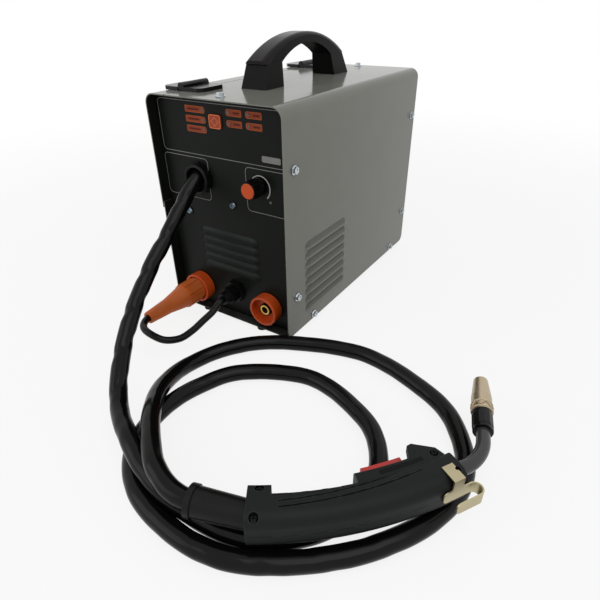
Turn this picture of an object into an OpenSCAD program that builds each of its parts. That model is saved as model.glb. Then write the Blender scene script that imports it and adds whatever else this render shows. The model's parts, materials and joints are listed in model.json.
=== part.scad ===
// Portable wire-feed welding machine with its torch, hose and polarity lead.
// Millimetres. +Z is up, the front panel faces -Y, and the origin is on the floor
// under the middle of the case.

/* [Case] */
// Width of the case across its side walls
case_w = 186; // [176:1:200]
// Depth of the case from the front lip to the rear lip
case_d = 340; // [330:1:360]
// Height of the case without its feet
case_h = 265; // [258:1:280]
// Height of the rubber feet
foot_h = 6; // [4:0.5:10]
// Thickness of the sheet steel
sheet_t = 1.2; // [1:0.1:1.5]
// Outside radius of the two long top bends
bend_r = 12; // [10:0.5:14]
// How far the front panel sits behind the front lip
front_recess = 13; // [11:0.5:15]
// How far the rear panel sits inside the rear lip
rear_recess = 5; // [4:0.5:7]
// Width of the folded flanges that carry the case screws
flange_w = 14; // [12:0.5:16]
// Radius of the rounded lower rear corner of the side wall
corner_r = 9; // [5:0.5:11]
// How far the fixed lower left wall is set in behind the door
lower_inset = 2; // [1.8:0.1:2.4]
// Height of the door's lower edge above the case bottom
door_edge_h = 132; // [126:1:136]
// How far the fixed lower wall reaches up behind the door
door_lap = 7.5; // [5:0.5:10]
// Distance from the middle of the case to the seam beside the door
seam_x = 62; // [58:0.5:64]

/* [Louvres] */
// Pitch of the louvres in the side wall
side_louvre_pitch = 11.9; // [11:0.1:12.5]
// Length of each louvre in the side wall
side_louvre_len = 99; // [70:1:110]
// Pitch of the louvres in the front panel
front_louvre_pitch = 11.3; // [10.5:0.1:12]
// Length of each louvre in the front panel
front_louvre_len = 90; // [60:1:100]
// How far a louvre's lip stands out of the sheet
louvre_out = 3.2; // [2:0.1:4]
// Height of a louvre's hood
louvre_h = 8.6; // [7.5:0.1:9.5]
// Thickness of a louvre's pressed wall
louvre_t = 1; // [0.8:0.1:1.2]

/* [Handle] */
// Width of the handle at the case
handle_foot_w = 34; // [31:0.5:38]
// Width of the handle's grip
handle_grip_w = 28.5; // [24:0.5:30]
// Height of the handle's feet
handle_foot_h = 25; // [22:0.5:28]
// Radius of the long arch over the grip cap
cap_arch_r = 165; // [160:1:175]
// Height of the grip cap's crown above the case top
cap_crown_h = 53; // [52:0.5:56]
// Radius of the edge fillets of the grip cap
cap_fillet_r = 6; // [3:0.5:8]

/* [Hinges] */
// Length of each hinge
hinge_len = 42; // [38:1:50]
// Diameter of the hinge knuckles
knuckle_d = 8.4; // [8:0.1:8.6]
// Diameter of the hinge pins
hinge_pin_d = 4; // [3:0.1:5]
// Thickness of the hinge leaves
leaf_t = 4; // [3:0.1:4.2]
// Reach of a hinge leaf from its pin
leaf_reach = 29; // [24:0.5:29]
// Angle to which the door opens
door_open = 170; // [90:1:170]

/* [Front fittings] */
// Bore of the torch outlet ring
outlet_bore_d = 26; // [24:0.1:28]
// Outside diameter of the torch outlet ring
outlet_ring_d = 35; // [34:0.5:38]
// Outside diameter of the socket collars
collar_d = 38.5; // [36:0.5:42]
// How far the socket collars stand out of the panel
collar_len = 14; // [12:0.5:16]
// Bore of the welding sockets
socket_bore_d = 9; // [8:0.1:9.5]
// Clearance on diameter between a plug pin and its socket
pin_clearance = 0.1; // [0.05:0.01:0.2]
// Diameter of the current knob
knob_d = 20.4; // [18:0.2:24]
// Length of the current knob
knob_len = 18.5; // [15:0.5:20]
// Width of the mode button
button_w = 16.5; // [12:0.5:17]
// Height of the mode button
button_h = 14.5; // [12:0.5:16]
// Length of the plug boot
boot_len = 88; // [80:1:92]

/* [Wire feeder] */
// Outside diameter of the wire spool
spool_d = 100; // [90:1:104]
// Width of the wire spool
spool_w = 45; // [40:0.5:46]
// Bore of the wire spool
spool_bore_d = 16; // [15:0.1:17]
// Diameter of the wound wire
wire_turn_d = 1.6; // [1.2:0.05:1.7]
// Pitch of the wound turns
wire_pitch = 2.3; // [2.15:0.05:2.4]
// Diameter of the driven feed roll
drive_roll_d = 30; // [26:0.5:32]
// Diameter of the pressure roll
pressure_roll_d = 22; // [18:0.5:23]
// Diameter of the feed motor
feed_motor_d = 36; // [30:0.5:38]
// Length of the feed motor
feed_motor_len = 60; // [50:1:64]

/* [Power parts] */
// Side of the square cooling fan
fan_side = 90; // [80:1:92]
// Depth of the cooling fan
fan_depth = 25; // [22:0.5:26]
// Length of the power board
board_len = 150; // [120:1:156]
// Width of the power board
board_w = 84; // [70:1:86]
// Height of the finned heat sinks
sink_h = 34; // [24:1:40]

/* [Torch] */
// Width of the torch handle across its parting plane
grip_w = 24.7; // [22:0.1:27]
// Thickness of the torch handle
grip_thick = 34; // [30:0.5:36]
// Wall of the torch handle shells
shell_wall = 2.6; // [2.2:0.1:3.2]
// Diameter of the swan neck
neck_d = 12; // [10:0.1:13]
// Angle of the bend in the swan neck
neck_angle = 47; // [40:1:55]
// Outside diameter of the gas nozzle at its base
nozzle_d = 18.6; // [17:0.1:20]
// Outside diameter of the gas nozzle at its mouth
nozzle_tip_d = 13.5; // [12:0.1:15]
// Length of the gas nozzle
nozzle_len = 45; // [38:0.5:50]
// Length of the cable sleeve
sleeve_len = 46.4; // [40:0.2:50]
// Angle through which the trigger pulls
trigger_pull = 5.5; // [4:0.1:6]

/* [Cords] */
// Diameter of the torch hose
hose_d = 17.5; // [16:0.1:17.5]
// Diameter of the polarity lead
lead_d = 8.5; // [7:0.1:9]

/* [Hidden] */
$fn = 48;
tiny = 0.01;
seat_gap = 0.3;
run_gap = 0.1;

// Case planes
x_right = case_w / 2;
x_left = -case_w / 2;
y_front = -case_d / 2;
y_back = case_d / 2;
z_bottom = foot_h;
z_top = foot_h + case_h;
panel_y = y_front + front_recess;
rear_y = y_back - rear_recess;
seam_gap = 0.5;
door_z = z_bottom + door_edge_h;
lower_top_z = door_z + door_lap;
lower_x = x_left + lower_inset;
inner_right = x_right - sheet_t;
inner_left = lower_x + sheet_t;
inner_top = z_top - sheet_t;
floor_z = z_bottom + sheet_t;
panel_left_r = bend_r - 1;

// Case screws
screw_d = 3.9;
screw_hole_d = 4.3;
screw_bore_d = 4;
screw_len = 7;
washer_d = 10;
washer_t = 1;
hex_af = 7;
hex_h = 3.2;
screw_inset = 17.5;
rear_screw_inset = 13;
right_screws = [
    [y_front + screw_inset, z_top - 62.7], [y_front + screw_inset + 1.5, z_bottom + 50.4],
    [y_front + 56, z_bottom + 6.5], [y_back - 50, z_bottom + 6.5],
    [y_back - rear_screw_inset, z_top - 61.3], [y_back - rear_screw_inset, z_bottom + 55.8]
];
left_screws = [
    [y_front + screw_inset + 1.5, z_bottom + 50.4], [y_front + 56, z_bottom + 6.5],
    [y_back - 50, z_bottom + 6.5], [y_back - rear_screw_inset, z_bottom + 55.8]
];
top_screw_x = 3;
top_screws = [y_front + screw_inset, y_back - rear_screw_inset - 1];

// Rubber feet
foot_stem_d = 5;
foot_top_d = 15;
foot_floor_d = 13;
foot_x = 45;
foot_inset = 10;

// Louvre places
side_louvre_n = 8;
front_louvre_n = 5;
side_louvre_y0 = y_front + 37;
side_louvre_z0 = z_bottom + 21;
front_louvre_z0 = z_bottom + 60.6;

// Pan head screws of the front panel
pan_head_d = 8.6;
pan_head_h = 2.4;
panel_screws = [[-60, 136], [11, 156]];

// Handle
handle_x = 3;
handle_y = -4.5;
handle_half = 86.7;
handle_foot_top = z_top + handle_foot_h;
cap_axis_z = z_top + cap_crown_h - cap_arch_r;
seam_drop = 3.5;
seam_arch_r = cap_arch_r - 20.5;
seam_axis_z = z_top + cap_crown_h - seam_drop - seam_arch_r;
grip_arch_r = 96;
grip_drop = 11;
grip_axis_z = z_top + cap_crown_h - grip_drop - grip_arch_r;
grip_half = sqrt(pow(grip_arch_r, 2) - pow(handle_foot_top - grip_axis_z, 2));
foot_lap = 0.5;
handle_feet = [[-92.5, -84, -grip_half, -grip_half - 2], [96.5, 84, grip_half, grip_half + 6]];
handle_screw_y = 76;
handle_screw_dx = 8;
handle_screw_len = 18;

// Hinges
hinge_x = -seam_x - 1;
hinge_z = z_top + leaf_t + seam_gap;
hinge_ys = [y_front + 27, y_back - 68];
knuckle_end = 12;
knuckle_gap = 0.4;
leaf_clear = 0.8;
leaf_chamfer = 5;
pin_bore_d = hinge_pin_d + run_gap;

// Door latch
latch_y = 0;
latch_z = lower_top_z + 6;
latch_d = 20;
latch_t = 4;
latch_shaft_d = 8;
cam_len = 17;
cam_w = 9;
cam_t = 2;
cam_gap = 0.5;

// Front fittings
outlet_x = -36;
outlet_z = z_top - 90;
outlet_flange_t = 3;
outlet_len = 8.5;
socket_xs = [-53.5, 55];
socket_z = z_bottom + 27;
recess_d = 33;
recess_deep = 9;
barrel_d = 24;
barrel_len = 18;
contact_d = 16;
contact_back = 26;
contact_set = 5;
gland_x = 4.6;
gland_z = z_bottom + 35.4;
gland_base_d = 25;
gland_base_len = 12;
gland_len = 28;
gland_barrel_d = 15;
knob_x = 50.3;
knob_z = z_top - 85.7;
knob_gap = 1.2;
knob_ribs = 18;
knob_rib_d = 1.4;
knob_turn = 150;
cap_d = knob_d - 3.6;
cap_t = 1.6;
shaft_d = 6;
bushing_d = 9;
pot_d = 24;
pot_len = 11;
button_x = -2.75;
button_z = z_top - 24.15;
button_out = 1.8;
button_travel = 0.8;
button_r = 2.5;
button_stem = 12;
lens_d = 4.2;
lens_out = 0.5;
lens_len = 3;
lenses = [
    [-20.5, z_top - 14.2], [-20.5, z_top - 24.5], [-20.5, z_top - 34.8],
    [15.8, z_top - 13.5], [15.8, z_top - 24.5], [41.8, z_top - 13.5], [41.8, z_top - 24.5]
];

// Rear fittings
rocker_x = 45;
rocker_z = z_top - 56;
rocker_w = 22;
rocker_h = 30;
rocker_deep = 24;
rocker_throw = 20;
mains_x = 45;
mains_z = z_top - 106;
mains_d = 24;
mains_bore_d = 9;
mains_len = 22;
fan_x = 40;
fan_z = z_bottom + 69;
fan_bore_d = fan_side - 6;
fan_hub_d = 34;
fan_shaft_d = 4;
fan_blades = 7;
fan_blade_t = 1.6;
grille_pitch = 8;
grille_slot = 4.6;

// Wire feeder
partition_x = -12;
tab_half = 12;
shelf_drop = 7.6;
shelf_z = door_z - shelf_drop;
wire_x = outlet_x;
wire_z = outlet_z;
wire_gap = 0.8;
plate_t = 8;
plate_x = partition_x - sheet_t - plate_t;
plate_y0 = panel_y + 7;
plate_len = 95;
plate_y1 = plate_y0 + plate_len;
plate_z0 = wire_z - 41;
plate_z1 = wire_z + 34;
roll_y = panel_y + 65;
roll_w = 10;
drive_z = wire_z - drive_roll_d / 2 - wire_gap / 4;
press_z = wire_z + pressure_roll_d / 2 + wire_gap / 4 + 0.2;
press_w = 8;
motor_shaft_d = 8;
arm_pivot_y = roll_y - 22;
arm_pivot_z = press_z + 4;
arm_pin_d = 5;
arm_cheek_t = 2.5;
arm_half = 6.5;
arm_web_z = press_z + pressure_roll_d / 2 + 1.5;
arm_web_t = 4;
arm_end_y = roll_y + 26;
arm_lift = 55;
rod_x = wire_x - 14;
rod_y = roll_y + 22;
rod_z = wire_z - 20;
rod_d = 5;
rod_swing = 70;
rod_len = arm_web_z + arm_web_t - rod_z;
tension_knob_d = 16;
tension_knob_len = 20;
guide_d = 7;
guide_bore_d = 1.6;
connector_side = 30;
connector_y0 = panel_y + 8;
connector_y1 = panel_y + 34;
connector_bore_d = hose_d + 2;
spool_y = 62;
spool_z = wire_z + 19;
hub_flange_d = 34;
hub_flange_t = 5;
spool_x1 = partition_x - sheet_t - hub_flange_t - 0.6;
spool_x0 = spool_x1 - spool_w;
spool_flange_t = 2.5;
spool_barrel_d = 44;
core_d = spool_d - 14;
spool_web_r = 28;
winding_edge = 0.4;
winding_w = spool_w - 2 * spool_flange_t - 2 * winding_edge - wire_turn_d;
winding_turns = floor(winding_w / wire_pitch);
winding_steps = 24;
winding_sides = 6;
winding_sag = core_d / 2 * (1 - cos(180 / winding_steps));
winding_r = core_d / 2 + wire_turn_d / 2 + winding_sag + run_gap;
nut_d = 34;
nut_t = 12;

// Power parts
board_x0 = -2;
board_y0 = panel_y + 37;
board_t = 1.6;
standoff_h = 10;
standoff_d = 7;
board_z = floor_z + standoff_h;
sink_w = 30;
sink_len = 60;
sink_fins = 7;
fin_t = 1.6;
sink_base_t = 5;
capacitor_d = 25;
capacitor_h = 34;
core_w = 56;
core_len = 66;
core_h = 60;
coil_len = 44;
coil_out = 8;
transformer_x = -50;
transformer_y = 0;
core_leg = 14;

// Torch frame: x runs along the rear of the handle, y towards the bend's centre
torch_x = 211.5;
torch_y = -397;
torch_z = 35;
torch_turn = 32;
grip_bend_r = 335;
grip_back_r = 351.5;
grip_far_r = grip_back_r - grip_w;
grip_deg = 28.2;
parting = 0.4;
back_fillet = 11;
far_fillet = 4;
nose_far_r = 316;
nose_deg0 = 14.5;
nose_half = 14;
beak_half = 13.4;
block_far_r = 319.5;
block_deg = 3.1;
pocket_deg0 = 14.9;
pocket_deg1 = 24.4;
pocket_half = 6.6;
pocket_r = nose_far_r + 17;
trigger_out = 7;
trigger_deep = 17;
trigger_out_r = nose_far_r - trigger_out;
trigger_in_r = trigger_out_r + trigger_deep;
trigger_deg0 = 16;
trigger_deg1 = 22.4;
trigger_half = pocket_half - 0.4;
trigger_pin_deg = 22.8;
trigger_pin_r = nose_far_r + 5.5;
trigger_pin_d = 3;
trigger_pin_out = 2.4;
trigger_boss_r = 4.4;
switch_r = 335;
switch_deg = 18.4;
switch_len = 18;
switch_deep = 7;
switch_half = 5;
grooves = [[329.4, 322.4], [334.4, 327.4], [339.4, 332.4]];
groove_w = 1.2;
groove_deep = 0.8;
groove_deg0 = 3.9;
groove_deg1 = 23;
well_d = 7;
well_z = grip_thick / 2 - 4.5;
torch_screws = [[323.5, 1.55], [346.5, 1.1], [321.5, 26.6], [344, 27.1]];
torch_screw_d = 3;
torch_head_d = 6.4;
torch_head_h = 2;
torch_screw_len = 19;
neck_r = 336;
neck_straight = 13.8;
neck_in = 14;
neck_bend_r = 45;
neck_end_len = 9;
insulator_len = 22;
insulator_bore = 12;
insulator_sides = 12;
nozzle_wall = 1.4;
nozzle_gap = 0.6;
tip_len = 24;
diffuser_d = 10;
diffuser_len = 14;
tip_d = 6;
tip_bore_d = 0.9;
sleeve_yaw = -14.3;
sleeve_front_d = 22;
sleeve_rear_d = 24.5;
sleeve_rim_d = 26.5;
sleeve_rim_len = 5;
sleeve_bore_d = hose_d + 0.4;
sleeve_bore_len = 16;
spigot_d = 14;
spigot_len = 7;
hook_t = 1.2;
hook_w = 11;
hook_z0 = -3;
hook_deg = 26.3;
hook_leg = 25;
hook_bend_r = 5.5;
hook_lip = 22;
hook_out = 0.7;
hook_end_r = 4;
hook_tab_w = 10;

// Plug and gland
boot_d = 31;
boot_tip_d = 15.5;
boot_y1 = y_front + 4;
boot_y0 = boot_y1 - boot_len;
boot_bore_d = lead_d + 0.6;
boot_ribs = 8;
pin_d = socket_bore_d - pin_clearance;
pin_reach = 26;

// Route of the torch hose, from the outlet to the torch
hose_sides = 12;
hose_rings = 64;
hose_route = [
    [-36, -150, 186], [-36, -163, 180.5], [-36.5, -183, 165], [-35.5, -220, 132],
    [-30, -258, 105], [-17.5, -299.5, 75.5], [3.5, -337.5, 48.5], [33, -368.5, 30.5],
    [76.5, -392.5, 30.5], [120, -407, 22.5], [165, -407, 10.5], [213, -397.5, 9],
    [252, -366, 9], [271, -320, 9], [262, -277, 9], [229, -241, 9],
    [157, -218.5, 9], [89, -248, 9], [62, -290, 9], [54, -337, 9],
    [67, -383, 9], [104, -414, 9], [154, -425, 9], [205, -420, 9],
    [252, -394, 9], [293, -356, 9], [323, -308, 9], [332, -259, 9],
    [313, -212, 9], [273, -176, 9], [185, -151.5, 9], [95, -181, 9],
    [49, -221, 9.5], [28, -270.5, 10], [41, -321.5, 22.5], [74, -364, 36],
    [112, -397, 40], [136, -409.5, 38.5], [157, -412, 35.5], [178.5, -406.5, 35]
];

// Route of the polarity lead, from its gland to the plug boot
lead_sides = 12;
lead_rings = 12;
lead_route = [
    [4.6, -184, 41.4], [4.5, -190, 40.6], [2.5, -202, 32.5], [0.5, -217.5, 27.5], [-1, -235.5, 23],
    [-4, -253.5, 21.5], [-14, -268.5, 25], [-31.5, -273.5, 31], [-46, -268.5, 32],
    [-53.5, -256, 33], [-53.5, -242, 33]
];

// Extrusions that keep their outline in the named plane
module along_x(x0, x1) {
    translate([x0, 0, 0]) rotate([90, 0, 90]) linear_extrude(x1 - x0) children();
}
module along_y(y0, y1) {
    translate([0, y1, 0]) rotate([90, 0, 0]) linear_extrude(y1 - y0) children();
}
module rod_along_x(y, z, x0, x1, d) {
    translate([x0, y, z]) rotate([0, 90, 0]) cylinder(d = d, h = x1 - x0);
}
module rod_along_y(x, z, y0, y1, d) {
    translate([x, y1, z]) rotate([90, 0, 0]) cylinder(d = d, h = y1 - y0);
}
module rod_along_z(x, y, z0, z1, d) {
    translate([x, y, z0]) cylinder(d = d, h = z1 - z0);
}
module block(x0, x1, y0, y1, z0, z1) {
    translate([x0, y0, z0]) cube([x1 - x0, y1 - y0, z1 - z0]);
}
// Turns children from the z axis to the -y direction, at a point
module facing_front(x, y, z) {
    translate([x, y, z]) rotate([90, 0, 0]) children();
}

// Rectangle with its upper right corner rounded
module corner_outline(x0, x1, z0, z1, r) {
    translate([x0, z0]) square([x1 - x0 - r, z1 - z0]);
    translate([x0, z0]) square([x1 - x0, z1 - z0 - r]);
    translate([x1 - r, z1 - r]) circle(r = r);
}
// Rectangle about the origin with four rounded corners
module round_box(w, h, r) {
    square([w - 2 * r, h], center = true);
    square([w, h - 2 * r], center = true);
    for (sx = [-1, 1], sz = [-1, 1])
        translate([sx * (w / 2 - r), sz * (h / 2 - r)]) circle(r = r);
}
// L of bent sheet: a top flange, a bend and one wall
module bent_sheet_outline(x0, z0) {
    difference() {
        corner_outline(x0, x_right, z0, z_top, bend_r);
        corner_outline(x0 - tiny, x_right - sheet_t, z0 - tiny, z_top - sheet_t, bend_r - sheet_t);
    }
}
// Outline shared by the front and rear panels, pulled in all round by inset
module panel_outline(inset) {
    right = inner_right - seat_gap - inset;
    low = floor_z + inset;
    high = inner_top - seat_gap - inset;
    right_r = bend_r - sheet_t - seat_gap - inset;
    corner_outline(0, right, low, high, right_r);
    mirror([1, 0]) corner_outline(0, -inner_left - inset, low, high, panel_left_r - inset);
}

// Louvre: pressed hood that stands out along -y and opens downwards, its lower lip at z = 0
function hood_centre(out, h) = (h * h - out * out) / (2 * out);
module hood_profile(out, h) {
    c = hood_centre(out, h);
    r = out + c;
    intersection() {
        translate([-sheet_t / 2, 0]) square([out + sheet_t, h + sheet_t]);
        difference() {
            translate([-c, 0]) circle(r = r);
            translate([-c, 0]) circle(r = r - louvre_t);
        }
    }
}
module louvre_hood(len, out, h) {
    run = len - 2 * h;
    for (s = [0, 1]) mirror([s, 0, 0]) translate([run / 2, 0, 0]) rotate([90, 0, 0])
        rotate_extrude(angle = 90) rotate(90) mirror([0, 1]) hood_profile(out, h);
    translate([-run / 2, 0, 0]) rotate([90, 0, 90]) linear_extrude(run) mirror([1, 0]) hood_profile(out, h);
}
module louvre_slot(len, h) {
    block(-len / 2 + h / 2, len / 2 - h / 2, -sheet_t, 2 * sheet_t, tiny, h - 3);
}

module side_louvres_at() {
    for (i = [0 : side_louvre_n - 1])
        translate([x_right, side_louvre_y0 + side_louvre_len / 2, side_louvre_z0 + i * side_louvre_pitch])
            rotate([0, 0, 90]) children();
}
module front_louvres_at() {
    for (i = [0 : front_louvre_n - 1])
        translate([0, panel_y, front_louvre_z0 + i * front_louvre_pitch]) children();
}

// Case sheet metal
module base_pan() {
    right = inner_right - seat_gap;
    flange_y0 = panel_y + flange_w + 1;
    flange_y1 = rear_y - flange_w - 1;
    color([0.16, 0.17, 0.16]) difference() {
        union() {
            block(inner_left, right, y_front + 1, y_back - 1, z_bottom, floor_z);
            block(right - sheet_t, right, flange_y0, flange_y1, z_bottom, z_bottom + flange_w);
            block(inner_left, inner_left + sheet_t, flange_y0, flange_y1, z_bottom, z_bottom + flange_w);
        }
        for (p = feet_at()) rod_along_z(p[0], p[1], 0, floor_z + 1, foot_stem_d);
        for (s = [right_screws[2], right_screws[3]])
            rod_along_x(s[0], s[1], x_left, x_right, screw_bore_d);
    }
}

module cover() {
    color([0.50, 0.50, 0.48]) difference() {
        union() {
            along_y(y_front, y_back) bent_sheet_outline(-seam_x + seam_gap, z_bottom);
            side_louvres_at() louvre_hood(side_louvre_len, louvre_out, louvre_h);
        }
        side_louvres_at() louvre_slot(side_louvre_len, louvre_h);
        for (s = right_screws) rod_along_x(s[0], s[1], inner_right - 1, x_right + 1, screw_hole_d);
        for (y = top_screws) rod_along_z(top_screw_x, y, inner_top - 1, z_top + 1, screw_hole_d);
        handle_screws_at() rod_along_z(0, 0, inner_top - 1, z_top + 1, screw_hole_d);
        along_x(inner_right - 1, x_right + 1) difference() {
            translate([y_back - corner_r, z_bottom - 1]) square([corner_r + 1, corner_r + 1]);
            translate([y_back - corner_r, z_bottom + corner_r]) circle(r = corner_r);
        }
    }
}

module side_door() {
    color([0.50, 0.50, 0.48]) difference() {
        along_y(y_front, y_back) mirror([1, 0]) bent_sheet_outline(seam_x + seam_gap, door_z);
        rod_along_x(latch_y, latch_z, x_left - 1, x_left + sheet_t + 1, latch_shaft_d + run_gap);
    }
}

module lower_side_panel() {
    color([0.50, 0.50, 0.48]) difference() {
        block(lower_x, inner_left, y_front, y_back, z_bottom, lower_top_z);
        for (s = left_screws) rod_along_x(s[0], s[1], lower_x - 1, inner_left + 1, screw_hole_d);
    }
}

// Sheet panel with flanges folded to one side, from y0 to y1 in depth
module flanged_panel(face_y, flange_y) {
    y0 = min(face_y, flange_y);
    y1 = max(face_y, flange_y);
    inner = face_y < flange_y ? face_y + sheet_t : face_y - sheet_t;
    along_y(min(face_y, inner), max(face_y, inner)) panel_outline(0);
    along_y(y0, y1) difference() {
        panel_outline(0);
        panel_outline(sheet_t);
    }
}

module front_panel() {
    color([0.11, 0.12, 0.11]) difference() {
        union() {
            flanged_panel(panel_y, panel_y + flange_w);
            front_louvres_at() louvre_hood(front_louvre_len, louvre_out, louvre_h);
        }
        front_louvres_at() louvre_slot(front_louvre_len, louvre_h);
        through_panel(outlet_x, outlet_z, outlet_bore_d);
        through_panel(knob_x, knob_z, bushing_d + run_gap);
        through_panel(gland_x, gland_z, gland_barrel_d + run_gap);
        for (x = socket_xs) through_panel(x, socket_z, barrel_d + run_gap);
        for (s = panel_screws) through_panel(s[0], s[1], screw_hole_d);
        for (p = lenses) through_panel(p[0], p[1], lens_d + run_gap);
        translate([button_x, 0, button_z]) along_y(panel_y - 1, panel_y + sheet_t + 1)
            round_box(button_w + 2 * seat_gap, button_h + 2 * seat_gap, button_r);
        rod_along_x(right_screws[0][0], right_screws[0][1], 0, x_right, screw_bore_d);
        rod_along_x(right_screws[1][0], right_screws[1][1], x_left, x_right, screw_bore_d);
        rod_along_z(top_screw_x, top_screws[0], inner_top - flange_w, z_top, screw_bore_d);
    }
}
module through_panel(x, z, d) {
    rod_along_y(x, z, panel_y - 4, panel_y + sheet_t + 1, d);
}

module rear_panel() {
    color([0.11, 0.12, 0.11]) difference() {
        flanged_panel(rear_y, rear_y - flange_w);
        along_y(rear_y - sheet_t - 1, rear_y + 1) intersection() {
            translate([fan_x, fan_z]) circle(d = fan_bore_d - 2);
            for (i = [-4 : 4])
                translate([fan_x - fan_side / 2, fan_z + i * grille_pitch - grille_slot / 2])
                    square([fan_side, grille_slot]);
        }
        for (sx = [-1, 1], sz = [-1, 1]) rod_along_y(fan_x + sx * fan_screw_at(),
            fan_z + sz * fan_screw_at(), rear_y - sheet_t - 1, rear_y + 1, screw_bore_d);
        translate([rocker_x, 0, rocker_z]) along_y(rear_y - sheet_t - 1, rear_y + 1)
            square([rocker_w + run_gap, rocker_h + run_gap], center = true);
        rod_along_y(mains_x, mains_z, rear_y - sheet_t - 1, rear_y + 1, mains_d - 6 + run_gap);
        for (i = [4, 5]) rod_along_x(right_screws[i][0], right_screws[i][1], 0, x_right, screw_bore_d);
        rod_along_x(left_screws[3][0], left_screws[3][1], x_left, 0, screw_bore_d);
        rod_along_z(top_screw_x, top_screws[1], inner_top - flange_w, z_top, screw_bore_d);
    }
}

// Wall and shelf that part the wire feeder from the power electronics
module partition() {
    wall_x0 = partition_x - sheet_t;
    y0 = panel_y + sheet_t;
    y1 = rear_y - sheet_t;
    wall_top = inner_top - seat_gap - sheet_t - seat_gap;
    tab_x = panel_screws[0][0];
    tab_z = panel_screws[1][1];
    tab_end = panel_screws[1][0] + pan_head_d;
    color([0.62, 0.63, 0.64]) difference() {
        union() {
            block(wall_x0, partition_x, y0, y1, shelf_z, wall_top);
            block(inner_left + sheet_t, partition_x, y0, y1, shelf_z, shelf_z + sheet_t);
            block(tab_x - tab_half, tab_x + tab_half, y0, y0 + sheet_t, shelf_z, shelf_z + flange_w);
            for (y = [y0, y1 - sheet_t])
                block(partition_x - tiny, tab_end, y, y + sheet_t, tab_z - flange_w / 2, tab_z + flange_w / 2);
        }
        for (s = panel_screws) rod_along_y(s[0], s[1], y0 - 1, y0 + 2 * sheet_t, screw_bore_d);
        rod_along_x(roll_y, drive_z, wall_x0 - 1, partition_x + 1, motor_shaft_d + 4);
        rod_along_x(spool_y, spool_z, wall_x0 - 1, partition_x + 1, screw_bore_d);
    }
}

function feet_at() = [for (sx = [-1, 1], sy = [-1, 1]) [sx * foot_x, sy * (case_d / 2 - foot_inset)]];

module feet() {
    color([0.08, 0.08, 0.08]) for (p = feet_at()) translate([p[0], p[1], 0]) {
        cylinder(d1 = foot_floor_d, d2 = foot_top_d, h = foot_h);
        translate([0, 0, foot_h - tiny]) cylinder(d = foot_stem_d - run_gap, h = sheet_t + tiny);
    }
}

// Hex washer head screw pointing along -z, its seat at z = 0
module hex_screw() {
    difference() {
        union() {
            cylinder(d = washer_d, h = washer_t);
            cylinder(d = hex_af / cos(30), h = washer_t + hex_h, $fn = 6);
        }
        translate([0, 0, washer_t + hex_h - 1]) cylinder(d = hex_af - 2.6, h = 2);
    }
    translate([0, 0, tiny - screw_len]) cylinder(d = screw_d, h = screw_len);
}
module cover_screws() {
    color([0.78, 0.79, 0.80]) {
        for (s = right_screws) translate([x_right, s[0], s[1]]) rotate([0, 90, 0]) hex_screw();
        for (s = left_screws) translate([lower_x, s[0], s[1]]) rotate([0, -90, 0]) hex_screw();
        for (y = top_screws) translate([top_screw_x, y, z_top]) hex_screw();
    }
}

// Cross-recessed pan head screw pointing along -z, its seat at z = 0
module pan_screw(head_d, head_h, d, len) {
    difference() {
        union() {
            cylinder(d1 = head_d, d2 = head_d * 0.7, h = head_h);
            translate([0, 0, -len]) cylinder(d = d, h = len + tiny);
        }
        for (a = [0, 90]) rotate(a)
            translate([-head_d * 0.28, -head_d * 0.06, head_h * 0.45]) cube([head_d * 0.56, head_d * 0.12, head_h]);
    }
}
module pan_head_screws() {
    color([0.75, 0.77, 0.79]) {
        for (s = panel_screws) facing_front(s[0], panel_y, s[1]) pan_screw(pan_head_d, pan_head_h, screw_d, 8);
        handle_screws_at() translate([0, 0, inner_top]) rotate([180, 0, 0])
            pan_screw(pan_head_d, pan_head_h, screw_d, handle_screw_len);
        torch_place() torch_screws_at() translate([0, 0, well_z])
            pan_screw(torch_head_d, torch_head_h, torch_screw_d, torch_screw_len);
    }
}
module handle_screws_at() {
    for (sx = [-1, 1], sy = [-1, 1])
        translate([handle_x + sx * handle_screw_dx, handle_y + sy * handle_screw_y, 0]) children();
}

// Carrying handle
module handle_section() {
    foot = handle_foot_w / 2;
    grip = handle_grip_w / 2;
    translate([handle_x, 0]) polygon([
        [-foot, z_top], [foot, z_top], [grip, handle_foot_top], [grip, z_top + 2 * cap_crown_h],
        [-grip, z_top + 2 * cap_crown_h], [-grip, handle_foot_top]
    ]);
}
module handle_profile() {
    difference() {
        translate([0, seam_axis_z]) circle(r = seam_arch_r, $fn = 180);
        translate([0, grip_axis_z]) circle(r = grip_arch_r, $fn = 120);
        translate([-case_d, -case_h]) square([2 * case_d, case_h + handle_foot_top - foot_lap]);
    }
}
module handle_arch() {
    color([0.27, 0.26, 0.26]) difference() {
        intersection() {
            translate([0, handle_y, 0]) {
                along_x(handle_x - handle_foot_w, handle_x + handle_foot_w) handle_profile();
                for (foot = handle_feet) along_x(handle_x - handle_foot_w, handle_x + handle_foot_w) polygon([
                    [foot[0], z_top], [foot[1], handle_foot_top], [foot[2], handle_foot_top], [foot[3], z_top]
                ]);
            }
            along_y(-case_d / 2, case_d / 2) handle_section();
        }
        handle_screws_at() rod_along_z(0, 0, z_top - 1, z_top + handle_screw_len + 1, screw_bore_d);
    }
}
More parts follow.
